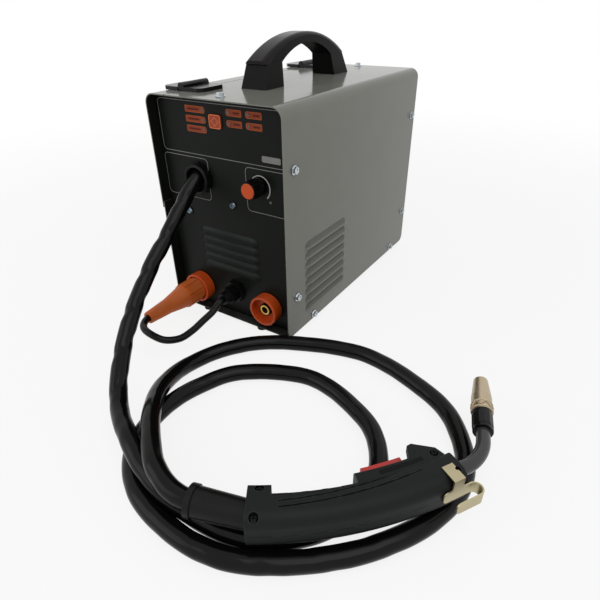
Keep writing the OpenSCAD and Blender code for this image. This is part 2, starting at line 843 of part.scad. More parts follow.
module handle_cap() {
    w = handle_grip_w;
    r = cap_fillet_r;
    color([0.33, 0.31, 0.31]) difference() {
        intersection() {
            translate([handle_x, handle_y, cap_axis_z]) rotate([0, 90, 0]) rotate_extrude($fn = 180)
                translate([0, -w / 2]) {
                    square([cap_arch_r - r, w]);
                    translate([0, r]) square([cap_arch_r, w - 2 * r]);
                    for (s = [r, w - r]) translate([cap_arch_r - r, s]) circle(r = r);
                }
            block(handle_x - w, handle_x + w, handle_y - handle_half, handle_y + handle_half,
                handle_foot_top, z_top + 2 * cap_crown_h);
        }
        translate([handle_x - w, handle_y, seam_axis_z]) rotate([0, 90, 0])
            cylinder(r = seam_arch_r, h = 2 * w, $fn = 180);
    }
}

// Hinges: the two outer knuckles belong to the cover leaf, the middle one to the door leaf
module hinge_knuckle(y0, y1) {
    rod_along_y(hinge_x, hinge_z, y0, y1, knuckle_d);
}
module leaf_outline(y0, y1) {
    polygon([
        [0, y0], [leaf_reach - leaf_chamfer, y0], [leaf_reach, y0 + leaf_chamfer],
        [leaf_reach, y1 - leaf_chamfer], [leaf_reach - leaf_chamfer, y1], [0, y1]
    ]);
}
module hinge_cover_leaves() {
    clear = knuckle_d / 2 + leaf_clear;
    color([0.10, 0.10, 0.10]) for (y0 = hinge_ys) difference() {
        union() {
            translate([hinge_x, 0, z_top]) linear_extrude(leaf_t) leaf_outline(y0, y0 + hinge_len);
            hinge_knuckle(y0, y0 + knuckle_end);
            hinge_knuckle(y0 + hinge_len - knuckle_end, y0 + hinge_len);
        }
        block(hinge_x - clear, hinge_x + clear, y0 + knuckle_end, y0 + hinge_len - knuckle_end,
            z_top - 1, hinge_z + knuckle_d);
        block(hinge_x - clear, -seam_x + seam_gap, y0 - 1, y0 + hinge_len + 1, z_top - 1, z_top + seam_gap);
        rod_along_y(hinge_x, hinge_z, y0 - 1, y0 + hinge_len + 1, pin_bore_d);
    }
}
module hinge_door_leaves() {
    clear = knuckle_d / 2 + leaf_clear;
    color([0.10, 0.10, 0.10]) for (y0 = hinge_ys) difference() {
        union() {
            translate([hinge_x, 0, z_top]) mirror([1, 0, 0]) linear_extrude(leaf_t)
                leaf_outline(y0, y0 + hinge_len);
            hinge_knuckle(y0 + knuckle_end + knuckle_gap, y0 + hinge_len - knuckle_end - knuckle_gap);
        }
        for (y = [y0 - 1, y0 + hinge_len - knuckle_end - knuckle_gap])
            block(hinge_x - clear, hinge_x + clear, y, y + knuckle_end + 1 + knuckle_gap,
                z_top - 1, hinge_z + knuckle_d);
        rod_along_y(hinge_x, hinge_z, y0 - 1, y0 + hinge_len + 1, pin_bore_d);
    }
}
module hinge_pins() {
    color([0.70, 0.71, 0.72]) for (y0 = hinge_ys) rod_along_y(hinge_x, hinge_z, y0, y0 + hinge_len, hinge_pin_d);
}

// Quarter-turn latch with its cam lying level
module door_latch() {
    cam_x = inner_left + cam_gap;
    color([0.09, 0.09, 0.09]) difference() {
        union() {
            rod_along_x(latch_y, latch_z, x_left - seat_gap - latch_t, x_left - seat_gap, latch_d);
            rod_along_x(latch_y, latch_z, x_left - seat_gap - 1, cam_x + cam_t, latch_shaft_d);
            block(cam_x, cam_x + cam_t, latch_y - cam_w / 2, latch_y + cam_len, latch_z - cam_w / 2,
                latch_z + cam_w / 2);
        }
        block(x_left - seat_gap - latch_t - 1, x_left - seat_gap - latch_t / 2,
            latch_y - latch_d * 0.36, latch_y + latch_d * 0.36, latch_z - 1, latch_z + 1);
    }
}

// Front fittings
module outlet_nut() {
    rim = (outlet_ring_d - outlet_bore_d) / 4;
    mid = (outlet_ring_d + outlet_bore_d) / 4;
    color([0.09, 0.09, 0.09]) facing_front(outlet_x, panel_y, outlet_z) {
        difference() {
            union() {
                cylinder(d = outlet_ring_d + 2, h = outlet_flange_t, $fn = 12);
                cylinder(d = outlet_ring_d, h = outlet_len - rim);
                translate([0, 0, outlet_len - rim]) rotate_extrude() translate([mid, 0]) circle(r = rim);
            }
            translate([0, 0, -1]) cylinder(d = outlet_bore_d, h = outlet_len + 2);
        }
    }
}

module socket_collars() {
    color([0.75, 0.29, 0.10]) for (x = socket_xs) facing_front(x, panel_y, socket_z) difference() {
        union() {
            rotate_extrude() {
                square([collar_d / 2 - 1, collar_len]);
                square([collar_d / 2, collar_len - 1]);
                translate([collar_d / 2 - 1, collar_len - 1]) circle(r = 1);
            }
            translate([0, 0, -barrel_len]) cylinder(d = barrel_d, h = barrel_len + tiny);
        }
        translate([0, 0, collar_len - recess_deep]) cylinder(d = recess_d, h = recess_deep + 1);
        translate([0, 0, -barrel_len - 1]) cylinder(d = contact_d, h = barrel_len + collar_len);
    }
}

module socket_contacts() {
    front = collar_len - contact_set;
    color([0.80, 0.66, 0.36]) for (x = socket_xs) facing_front(x, panel_y, socket_z) difference() {
        translate([0, 0, -contact_back]) cylinder(d = contact_d - run_gap, h = front + contact_back);
        translate([0, 0, front - pin_reach]) cylinder(d = socket_bore_d, h = pin_reach + 1);
    }
}

module polarity_gland() {
    dome_d = gland_base_d - 4;
    color([0.07, 0.07, 0.07]) facing_front(gland_x, panel_y, gland_z) difference() {
        union() {
            cylinder(d = gland_base_d / cos(30), h = 6, $fn = 6);
            cylinder(d = dome_d + 1, h = gland_base_len);
            translate([0, 0, gland_base_len - tiny]) cylinder(d1 = dome_d, d2 = dome_d - 1, h = 7);
            translate([0, 0, gland_base_len + 7 - 2 * tiny]) cylinder(d1 = dome_d - 3, d2 = dome_d - 7, h = gland_len - gland_base_len - 7);
            for (i = [0 : 11]) rotate(i * 30) translate([dome_d / 2 - 0.3, 0, gland_base_len - 0.5])
                cylinder(d = 2, h = 6);
            translate([0, 0, -10]) cylinder(d = gland_barrel_d, h = 10 + tiny);
        }
        translate([0, 0, -11]) cylinder(d = lead_d + 0.6, h = gland_len + 12);
    }
}

module indicator_lenses() {
    color([0.45, 0.32, 0.28]) for (p = lenses) rod_along_y(p[0], p[1], panel_y - lens_out, panel_y + lens_len, lens_d);
}

module mode_button() {
    color([0.85, 0.30, 0.12]) translate([button_x, 0, button_z]) {
        along_y(panel_y - button_out, panel_y + sheet_t + 1) round_box(button_w, button_h, button_r);
        along_y(panel_y + sheet_t + 1 + button_travel, panel_y + sheet_t + 1 + button_travel + 1)
            round_box(button_w, button_h, button_r);
        rod_along_y(0, 0, panel_y, panel_y + button_stem, 5);
    }
}

module knob_place() {
    facing_front(knob_x, panel_y - knob_gap, knob_z) children();
}
module current_knob() {
    color([0.08, 0.08, 0.08]) knob_place() difference() {
        union() {
            cylinder(d = knob_d, h = 4);
            cylinder(d1 = knob_d - 1, d2 = knob_d - 2, h = knob_len);
            for (i = [0 : knob_ribs - 1]) rotate(i * 360 / knob_ribs)
                translate([knob_d / 2 - knob_rib_d / 2, 0, 0]) cylinder(d = knob_rib_d, h = knob_len - 2);
        }
        translate([0, 0, knob_len - cap_t]) cylinder(d = cap_d + run_gap, h = cap_t + 1);
        translate([0, 0, -1]) cylinder(d = shaft_d + run_gap, h = knob_len - cap_t - 1);
        translate([0, 0, -1]) cylinder(d = bushing_d + 4, h = 4);
    }
}
module knob_cap() {
    color([0.88, 0.37, 0.14]) knob_place() translate([0, 0, knob_len - cap_t]) {
        cylinder(d = cap_d, h = cap_t);
        translate([0, 0, cap_t - tiny]) cylinder(d1 = cap_d, d2 = cap_d - 1.4, h = 0.7);
    }
}
module knob_shaft() {
    color([0.72, 0.72, 0.70]) facing_front(knob_x, panel_y, knob_z)
        translate([0, 0, -pot_len]) cylinder(d = shaft_d, h = pot_len + knob_gap + knob_len - cap_t - 2.5);
}
module potentiometer() {
    color([0.45, 0.42, 0.35]) facing_front(knob_x, panel_y, knob_z) difference() {
        union() {
            translate([0, 0, -sheet_t - pot_len]) cylinder(d = pot_d, h = pot_len);
            translate([0, 0, -sheet_t - tiny]) cylinder(d = bushing_d, h = sheet_t + 3);
            cylinder(d = bushing_d + 2.6, h = 2, $fn = 6);
        }
        translate([0, 0, -pot_len - 0.2]) cylinder(d = shaft_d + run_gap, h = pot_len + 5);
    }
}

// Rear fittings
module rocker_housing() {
    color([0.07, 0.07, 0.07]) translate([rocker_x, 0, rocker_z]) difference() {
        union() {
            along_y(rear_y - rocker_deep, rear_y + tiny) square([rocker_w, rocker_h], center = true);
            along_y(rear_y, rear_y + 2) round_box(rocker_w + 4, rocker_h + 4, 1.5);
        }
        along_y(rear_y - 13, rear_y + 3) square([rocker_w - 4, rocker_h - 4], center = true);
        rod_along_x(rear_y - 5, 0, -rocker_w, rocker_w, 3 + run_gap);
    }
}
module power_rocker() {
    half = rocker_h / 2 - 3;
    color([0.55, 0.08, 0.06]) translate([rocker_x, rear_y - 5, rocker_z]) rotate([rocker_throw / 2, 0, 0]) {
        along_x(-rocker_w / 2 + 2.5, rocker_w / 2 - 2.5) polygon([
            [-4, -4], [0.5, -half], [5, -half], [4, 0], [5, half], [0.5, half], [-4, 4]
        ]);
        rod_along_x(0, 0, -rocker_w / 2 + 0.2, rocker_w / 2 - 0.2, 3);
    }
}
module mains_gland() {
    color([0.07, 0.07, 0.07]) translate([mains_x, rear_y, mains_z]) rotate([-90, 0, 0]) difference() {
        union() {
            cylinder(d = mains_d / cos(30), h = 5, $fn = 6);
            cylinder(d = mains_d - 3, h = 12);
            translate([0, 0, 12 - tiny]) cylinder(d1 = mains_d - 4, d2 = mains_bore_d + 5, h = mains_len - 12);
            translate([0, 0, -12]) cylinder(d = mains_d - 6, h = 12 + tiny);
        }
        translate([0, 0, -13]) cylinder(d = mains_bore_d, h = mains_len + 14);
    }
}

function fan_screw_at() = fan_side / 2 - 5;
module fan_frame() {
    y1 = rear_y - sheet_t;
    y0 = y1 - fan_depth;
    color([0.08, 0.08, 0.08]) translate([fan_x, 0, fan_z]) {
        difference() {
            along_y(y0, y1) round_box(fan_side, fan_side, 3);
            rod_along_y(0, 0, y0 - 1, y1 + 1, fan_bore_d);
            for (sx = [-1, 1], sz = [-1, 1])
                rod_along_y(sx * fan_screw_at(), sz * fan_screw_at(), y0 - 1, y1 + 1, screw_bore_d);
        }
        difference() {
            union() {
                rod_along_y(0, 0, y1 - 4, y1, fan_hub_d);
                for (a = [45, 135]) along_y(y1 - 4, y1) rotate(a)
                    square([fan_bore_d + 1, 4], center = true);
            }
            rod_along_y(0, 0, y1 - 5, y1 + 1, fan_shaft_d + run_gap);
        }
    }
}
module fan_impeller() {
    y1 = rear_y - sheet_t - 4.6;
    y0 = y1 - fan_depth + 6;
    color([0.12, 0.12, 0.12]) translate([fan_x, 0, fan_z]) {
        rod_along_y(0, 0, y0, y1, fan_hub_d);
        rod_along_y(0, 0, y1 - 1, y1 + 4.4, fan_shaft_d);
        for (i = [0 : fan_blades - 1]) rotate([0, i * 360 / fan_blades, 0]) intersection() {
            translate([0, (y0 + y1) / 2, fan_bore_d / 4]) rotate([0, 0, 38])
                cube([fan_depth, fan_blade_t, fan_bore_d / 2 - 3], center = true);
            rod_along_y(0, 0, y0, y1, fan_bore_d - 4);
        }
    }
}

// Power electronics
module power_board() {
    x1 = board_x0 + board_w;
    y1 = board_y0 + board_len;
    color([0.10, 0.35, 0.16]) {
        block(board_x0, x1, board_y0, y1, board_z, board_z + board_t);
        for (x = [board_x0 + 6, x1 - 6], y = [board_y0 + 6, y1 - 6])
            rod_along_z(x, y, floor_z, board_z + tiny, standoff_d);
        for (i = [0 : 2])
            rod_along_z(board_x0 + capacitor_d / 2 + 8 + i * (capacitor_d - 0.5), board_y0 + 22,
                board_z + board_t - tiny, board_z + board_t + capacitor_h, capacitor_d - 2);
    }
}
module heat_sinks() {
    base_z = board_z + board_t;
    gap = (sink_w - fin_t) / (sink_fins - 1);
    color([0.72, 0.73, 0.75]) for (x0 = [board_x0 + 8, board_x0 + board_w - 8 - sink_w])
        translate([x0, board_y0 + board_len - sink_len - 18, base_z]) {
            cube([sink_w, sink_len, sink_base_t]);
            for (i = [0 : sink_fins - 1]) translate([i * gap, 0, 0]) cube([fin_t, sink_len, sink_h]);
        }
}
module transformer() {
    color([0.55, 0.40, 0.20]) translate([transformer_x, transformer_y, floor_z]) {
        difference() {
            translate([-core_w / 2, -core_len / 2, 0]) cube([core_w, core_len, core_h]);
            for (s = [-1, 1]) translate([-core_w, s * (core_len / 4 - core_leg / 8) - 5, core_leg])
                cube([2 * core_w, 10, core_h - 2 * core_leg]);
        }
        for (s = [-1, 1]) translate([s * (core_w / 2 + coil_out / 2 - tiny), 0, core_h / 2])
            cube([coil_out, coil_len, core_h - 2 * core_leg], center = true);
    }
}

// Wire feeder
module feed_plate() {
    x1 = partition_x - sheet_t;
    color([0.70, 0.71, 0.73]) {
        difference() {
            translate([0, (plate_y0 + plate_y1) / 2, (plate_z0 + plate_z1) / 2])
                along_x(plate_x, x1) round_box(plate_y1 - plate_y0, plate_z1 - plate_z0, 6);
            rod_along_x(roll_y, drive_z, plate_x - 1, x1 + 1, motor_shaft_d + 4);
        }
        rod_along_x(arm_pivot_y, arm_pivot_z, wire_x - press_w / 2 - 7, plate_x + tiny, arm_pin_d);
        rod_along_x(rod_y, rod_z, rod_x - 6, plate_x + tiny, arm_pin_d);
        rod_along_x(rod_y, rod_z, rod_x + 4.5, plate_x + tiny, arm_pin_d + 5);
    }
}
module feed_motor() {
    color([0.55, 0.56, 0.57]) difference() {
        union() {
            rod_along_x(roll_y, drive_z, partition_x, partition_x + feed_motor_len, feed_motor_d);
            rod_along_x(roll_y, drive_z, plate_x + 1, partition_x + 1, motor_shaft_d + 3.8);
        }
        rod_along_x(roll_y, drive_z, plate_x, partition_x + 20, motor_shaft_d + run_gap);
    }
}
module drive_roll() {
    color([0.78, 0.78, 0.80]) difference() {
        union() {
            rod_along_x(roll_y, drive_z, wire_x - roll_w / 2, wire_x + roll_w / 2, drive_roll_d);
            rod_along_x(roll_y, drive_z, wire_x - roll_w / 2 - 4, wire_x, motor_shaft_d + 6);
            rod_along_x(roll_y, drive_z, wire_x, partition_x + 18, motor_shaft_d);
            rod_along_x(roll_y, drive_z, wire_x, plate_x - 0.8, motor_shaft_d + 5);
        }
        for (x = [-2.5, 2.5]) translate([wire_x + x, roll_y, drive_z]) rotate([0, 90, 0])
            rotate_extrude() translate([drive_roll_d / 2, 0]) circle(d = 1);
        for (i = [0 : 5]) rotate_about_roll(i * 60)
            rod_along_x(roll_y + drive_roll_d / 2 - 5, drive_z, wire_x - roll_w, wire_x - roll_w / 2 + 2, 3);
    }
}
module rotate_about_roll(a) {
    translate([0, roll_y, drive_z]) rotate([a, 0, 0]) translate([0, -roll_y, -drive_z]) children();
}
module pressure_arm() {
    outer_x = wire_x - arm_half;
    inner_x = wire_x + arm_half;
    color([0.14, 0.14, 0.15]) difference() {
        union() {
            for (x = [outer_x, inner_x - arm_cheek_t]) along_x(x, x + arm_cheek_t) {
                translate([arm_pivot_y, arm_pivot_z]) circle(r = 6);
                translate([roll_y, press_z]) circle(r = 7);
                polygon([
                    [arm_pivot_y - 5, arm_pivot_z + 3], [arm_pivot_y + 2, arm_pivot_z - 5.6],
                    [roll_y, press_z - 6.9], [roll_y + 6.5, press_z - 2], [arm_end_y, arm_web_z],
                    [arm_end_y, arm_web_z + arm_web_t], [arm_pivot_y, arm_web_z + arm_web_t]
                ]);
            }
            block(outer_x, inner_x, arm_pivot_y + 8, arm_end_y, arm_web_z, arm_web_z + arm_web_t);
            block(rod_x - 6.5, outer_x + 1, arm_end_y - 14, arm_end_y, arm_web_z, arm_web_z + arm_web_t);
            rod_along_x(roll_y, press_z, outer_x, inner_x, arm_pin_d);
        }
        rod_along_x(arm_pivot_y, arm_pivot_z, outer_x - 1, inner_x + 1, arm_pin_d + run_gap);
        block(rod_x - rod_d / 2 - 0.6, rod_x + rod_d / 2 + 0.6, rod_y - rod_d, arm_end_y + 1,
            arm_web_z - 1, arm_web_z + arm_web_t + 1);
    }
}
module pressure_roll() {
    color([0.82, 0.82, 0.84]) difference() {
        rod_along_x(roll_y, press_z, wire_x - press_w / 2 + 0.4, wire_x + press_w / 2 - 0.4, pressure_roll_d);
        rod_along_x(roll_y, press_z, wire_x - press_w, wire_x + press_w, arm_pin_d + run_gap);
    }
}
module tension_place() {
    translate([rod_x, rod_y, rod_z]) rotate([-rod_swing, 0, 0]) children();
}
module tension_rod() {
    color([0.75, 0.76, 0.78]) tension_place() {
        difference() {
            union() {
                translate([-3.6, 0, 0]) rotate([0, 90, 0]) cylinder(d = 11, h = 7.2);
                cylinder(d = rod_d, h = rod_len + 24);
            }
            translate([-5, 0, 0]) rotate([0, 90, 0]) cylinder(d = arm_pin_d + run_gap, h = 10);
        }
    }
}
module tension_knob() {
    color([0.09, 0.09, 0.09]) tension_place() translate([0, 0, rod_len + 1]) difference() {
        union() {
            cylinder(d1 = 9, d2 = tension_knob_d, h = 8);
            translate([0, 0, 8 - tiny]) cylinder(d = tension_knob_d, h = tension_knob_len);
            for (i = [0 : 11]) rotate(i * 30) translate([tension_knob_d / 2, 0, 8]) cylinder(d = 1.6, h = tension_knob_len - 1);
        }
        translate([0, 0, -1]) cylinder(d = rod_d + run_gap, h = 25);
    }
}
module wire_guides() {
    half = connector_side / 2;
    color([0.80, 0.66, 0.36]) difference() {
        union() {
            block(wire_x - half, plate_x, connector_y0, connector_y1, wire_z - half, wire_z + half);
            rod_along_y(wire_x, wire_z, connector_y1 - tiny, roll_y - 14, guide_d);
            rod_along_y(wire_x, wire_z, roll_y + 13, plate_y1 + 4, guide_d);
            block(wire_x - 4, plate_x, roll_y + 28, roll_y + 36, wire_z - 5, wire_z + 5);
        }
        rod_along_y(wire_x, wire_z, connector_y0 - 1, plate_y1 + 5, guide_bore_d);
        rod_along_y(wire_x, outlet_z + 3.4, connector_y0 - 1, connector_y0 + 6, connector_bore_d + 2);
    }
}

// Wire spool
module spool_hub() {
    x1 = partition_x - sheet_t;
    color([0.20, 0.20, 0.21]) difference() {
        union() {
            rod_along_x(spool_y, spool_z, x1 - hub_flange_t, x1, hub_flange_d);
            rod_along_x(spool_y, spool_z, spool_x0 - nut_t - 2, x1, spool_bore_d - run_gap);
        }
        rod_along_x(spool_y, spool_z, x1 - 20, x1 + 1, screw_bore_d);
    }
}
module wire_spool() {
    color([0.10, 0.11, 0.12]) translate([spool_x0, spool_y, spool_z]) rotate([0, 90, 0]) difference() {
        union() {
            cylinder(d = spool_barrel_d, h = spool_w);
            for (z = [0, spool_w - spool_flange_t]) translate([0, 0, z]) cylinder(d = spool_d, h = spool_flange_t);
        }
        translate([0, 0, -1]) cylinder(d = spool_bore_d, h = spool_w + 2);
        for (i = [0 : 5]) rotate(i * 60) translate([spool_web_r, 0, -1]) cylinder(d = 8, h = spool_flange_t + 1);
    }
}
function winding_point(t) = [
    spool_x0 + spool_w / 2 + wire_pitch * winding_turns * (t - 0.5),
    spool_y + winding_r * cos(360 * winding_turns * t),
    spool_z + winding_r * sin(360 * winding_turns * t)
];
echo(winding_gap = wire_pitch - wire_turn_d);
module wire_winding() {
    n = winding_turns * winding_steps;
    path = [for (i = [0 : n]) winding_point(i / n)];
    color([0.76, 0.50, 0.34]) {
        translate([spool_x0 + spool_flange_t + seat_gap / 2, spool_y, spool_z]) rotate([0, 90, 0]) difference() {
            cylinder(d = core_d, h = spool_w - 2 * spool_flange_t - seat_gap);
            translate([0, 0, -1]) cylinder(d = spool_barrel_d + run_gap, h = spool_w);
        }
        swept_tube(path, wire_turn_d, winding_sides, [1, 0, 0]);
    }
}
module spool_nut() {
    color([0.09, 0.09, 0.10]) translate([spool_x0 - 1.2, spool_y, spool_z]) rotate([0, -90, 0]) difference() {
        union() {
            cylinder(d = nut_d, h = nut_t);
            for (i = [0 : 5]) rotate(i * 60) translate([nut_d / 2, 0, 0]) cylinder(d = 6, h = nut_t);
        }
        translate([0, 0, -1]) cylinder(d = spool_bore_d, h = nut_t + 2);
    }
}

// Torch: a bent band about the grip's centre, in polar sizes of radius and angle
module torch_place() {
    translate([torch_x, torch_y, torch_z]) rotate(torch_turn) children();
}
function polar_point(r, a) = [r * sin(a), grip_bend_r - r * cos(a)];
module about_bend(a0, a1) {
    translate([0, grip_bend_r, 0]) rotate(a0 - 90) rotate_extrude(angle = a1 - a0, $fn = 360) children();
}
module at_polar(r, a) {
    p = polar_point(r, a);
    translate([p[0], p[1], 0]) children();
}
module torch_screws_at() {
    for (s = torch_screws) at_polar(s[0], s[1]) children();
}
// Section of the grip in radius and height, pulled in by inset
module grip_section(inset) {
    r0 = grip_far_r + inset;
    r1 = grip_back_r - inset;
    h = grip_thick / 2 - inset;
    f0 = far_fillet;
    f1 = back_fillet - inset;
    translate([r0 + f0, -h]) square([r1 - r0 - f0 - f1, 2 * h]);
    translate([r0, -h + f0]) square([f0 + 1, 2 * (h - f0)]);
    translate([r1 - f1 - 1, -h + f1]) square([f1 + 1, 2 * (h - f1)]);
    for (s = [-1, 1]) {
        translate([r0 + f0, s * (h - f0)]) circle(r = f0);
        translate([r1 - f1, s * (h - f1)]) circle(r = f1);
    }
}
module edge_section(r0, r1, half, f) {
    translate([r0, -half + f]) square([r1 - r0, 2 * (half - f)]);
    translate([r0 + f, -half]) square([r1 - r0 - f, 2 * half]);
    for (s = [-1, 1]) translate([r0 + f, s * (half - f)]) circle(r = f);
}
module torch_body() {
    about_bend(0, grip_deg) grip_section(0);
    about_bend(nose_deg0, grip_deg - 1) edge_section(nose_far_r, grip_back_r - 16, nose_half, 4);
    about_bend(0, block_deg) edge_section(block_far_r, grip_back_r - 16, grip_thick / 2, 4);
    translate([0, 0, -beak_half]) linear_extrude(2 * beak_half) polygon([
        polar_point(330, 24.5), polar_point(nose_far_r + 1, 22.9), polar_point(306.5, 23.8),
        polar_point(305.9, 24.6), polar_point(317.5, 27.4), polar_point(330, 28)
    ]);
}
module torch_bores() {
    sleeve_place() translate([0, 0, -2]) cylinder(d = spigot_d + run_gap, h = spigot_len + 4);
    neck_place() translate([-neck_in - 1, 0, 0]) rotate([0, 90, 0]) cylinder(d = neck_d + run_gap, h = neck_in + 6);
    torch_screws_at() {
        translate([0, 0, well_z]) cylinder(d = well_d, h = grip_thick);
        translate([0, 0, -grip_thick / 2 + 2]) cylinder(d = torch_screw_d + run_gap, h = grip_thick);
    }
}
module torch_cavity() {
    about_bend(1, grip_deg - 1) grip_section(shell_wall);
    about_bend(pocket_deg0, pocket_deg1) translate([trigger_out_r - 9, -pocket_half])
        square([pocket_r - trigger_out_r + 9, 2 * pocket_half]);
    at_polar(trigger_pin_r, trigger_pin_deg) translate([0, 0, -trigger_half - trigger_pin_out - 0.3])
        cylinder(d = trigger_pin_d + run_gap, h = 2 * (trigger_half + trigger_pin_out + 0.3));
    torch_bores();
}
module torch_posts() {
    difference() {
        intersection() {
            torch_screws_at() translate([0, 0, -grip_thick / 2 + 1]) cylinder(d = well_d + 3, h = grip_thick - 2);
            torch_body();
        }
        torch_bores();
    }
    at_polar(switch_r + switch_deep / 2, switch_deg) rotate(switch_deg) for (s = [-1, 1])
        translate([s * switch_len / 4, 0, 0]) {
            translate([0, 0, switch_half]) cylinder(d = 3, h = grip_thick / 2 - switch_half - 1);
            translate([0, 0, -grip_thick / 2 + 1]) cylinder(d = 3, h = grip_thick / 2 - switch_half - 1);
        }
}
module grip_notches() {
    for (a = [5.2, 7.8, 10.4]) about_bend(a, a + 1.8) translate([grip_far_r - 1, -grip_thick])
        square([2.6, 2 * grip_thick]);
}
// Long grooves along both faces of the grip
module grip_grooves() {
    for (g = grooves, s = [-1, 1]) translate([0, 0, s * grip_thick / 2 - groove_deep]) linear_extrude(2 * groove_deep)
        polygon([
            for (t = [0 : 10]) groove_point(g, t / 10, 0),
            for (t = [10 : -1 : 0]) groove_point(g, t / 10, groove_w)
        ]);
}
function groove_point(g, t, side) = polar_point(g[0] + (g[1] - g[0]) * t + side, groove_deg0 + (groove_deg1 - groove_deg0) * t);
module torch_half(side) {
    torch_place() intersection() {
        union() {
            difference() {
                torch_body();
                torch_cavity();
                grip_notches();
                grip_grooves();
            }
            torch_posts();
        }
        translate([-50, -80, side > 0 ? parting / 2 : -parting / 2 - grip_thick])
            cube([300, 200, grip_thick]);
    }
}
module handle_shell_left() {
    color([0.18, 0.18, 0.19]) torch_half(1);
}
module handle_shell_right() {
    color([0.18, 0.18, 0.19]) torch_half(-1);
}
module trigger() {
    color([0.75, 0.18, 0.16]) torch_place() {
        about_bend(trigger_deg0, trigger_deg1) translate([trigger_out_r, -trigger_half])
            square([trigger_in_r - trigger_out_r, 2 * trigger_half]);
        at_polar(trigger_pin_r, trigger_pin_deg) {
            translate([0, 0, -trigger_half]) cylinder(r = trigger_boss_r, h = 2 * trigger_half);
            translate([0, 0, -trigger_half - trigger_pin_out])
                cylinder(d = trigger_pin_d, h = 2 * (trigger_half + trigger_pin_out));
        }
    }
}
module trigger_switch() {
    color([0.10, 0.10, 0.12]) torch_place() at_polar(switch_r + switch_deep / 2, switch_deg) rotate(switch_deg) {
        translate([-switch_len / 2, -switch_deep / 2, -switch_half])
            cube([switch_len, switch_deep, 2 * switch_half]);
        translate([-5, switch_deep / 2 - tiny, -1.5]) cube([3, 1.4, 3]);
    }
}
// Sleeve frame: z runs forwards into the handle, z = 0 at the handle's rear face
module sleeve_place() {
    translate([0, 1, 0]) rotate(sleeve_yaw) rotate([0, 90, 0]) children();
}
module cable_sleeve() {
    color([0.07, 0.07, 0.07]) torch_place() {
        difference() {
            sleeve_place() {
                translate([0, 0, -sleeve_len]) cylinder(d1 = sleeve_rear_d, d2 = sleeve_front_d, h = sleeve_len + 6);
                translate([0, 0, -sleeve_len]) cylinder(d = sleeve_rim_d, h = sleeve_rim_len);
            }
            sleeve_place() translate([0, 0, -sleeve_len - 1]) cylinder(d = sleeve_bore_d, h = sleeve_bore_len + 1);
            translate([-run_gap, -50, -50]) cube([100, 100, 100]);
        }
        sleeve_place() translate([0, 0, -8]) cylinder(d = spigot_d, h = 8 + spigot_len);
    }
}
module neck_place() {
    at_polar(neck_r, grip_deg) rotate(grip_deg) children();
}
module neck_end_place() {
    neck_place() translate([neck_straight, neck_bend_r, 0]) rotate(neck_angle)
        translate([0, -neck_bend_r, 0]) rotate([0, 90, 0]) children();
}
module swan_neck() {
    color([0.36, 0.35, 0.35]) torch_place() {
        neck_place() {
            translate([-neck_in, 0, 0]) rotate([0, 90, 0]) cylinder(d = neck_d, h = neck_in + neck_straight + tiny);
            translate([neck_straight, neck_bend_r, 0]) rotate(-90) rotate_extrude(angle = neck_angle, $fn = 180)
                translate([neck_bend_r, 0]) circle(d = neck_d, $fn = 48);
        }
        neck_end_place() translate([0, 0, -tiny]) cylinder(d = neck_d, h = neck_end_len + insulator_bore);
    }
}
module insulator_place() {
    neck_end_place() translate([0, 0, neck_end_len]) children();
}
module neck_insulator() {
    color([0.06, 0.06, 0.06]) torch_place() insulator_place() difference() {
        union() {
            cylinder(d = nozzle_d - 1, h = insulator_len);
            translate([0, 0, 4]) cylinder(d = nozzle_d, h = insulator_len - 8, $fn = insulator_sides);
        }
        translate([0, 0, -1]) cylinder(d = neck_d + run_gap, h = insulator_bore + 1 + run_gap);
    }
}
module nozzle_place() {
    insulator_place() translate([0, 0, insulator_len]) children();
}
module gas_nozzle() {
    taper0 = nozzle_len * 0.45;
    color([0.75, 0.69, 0.59]) torch_place() nozzle_place() difference() {
        union() {
            cylinder(d = nozzle_d, h = taper0);
            translate([0, 0, taper0 - tiny]) cylinder(d1 = nozzle_d, d2 = nozzle_tip_d, h = nozzle_len - taper0);
            for (z = [2.5, 9.5]) translate([0, 0, z]) rotate_extrude() translate([nozzle_d / 2, 0]) circle(d = 1.4);
        }
        translate([0, 0, -1]) cylinder(d = nozzle_d - 2 * nozzle_wall, h = taper0 + 1);
        translate([0, 0, taper0 - 2 * tiny]) cylinder(d1 = nozzle_d - 2 * nozzle_wall,
            d2 = nozzle_tip_d - 2 * nozzle_wall, h = nozzle_len - taper0 + 3 * tiny);
    }
}
module contact_tip() {
    color([0.72, 0.45, 0.28]) torch_place() nozzle_place() difference() {
        union() {
            cylinder(d = diffuser_d, h = diffuser_len);
            translate([0, 0, diffuser_len - tiny]) cylinder(d = tip_d, h = tip_len);
        }
        translate([0, 0, 1]) cylinder(d = tip_bore_d, h = diffuser_len + tip_len);
        for (a = [0 : 60 : 300]) rotate(a) translate([0, 0, diffuser_len - 5]) rotate([0, 90, 0])
            cylinder(d = 2, h = diffuser_d);
    }
}
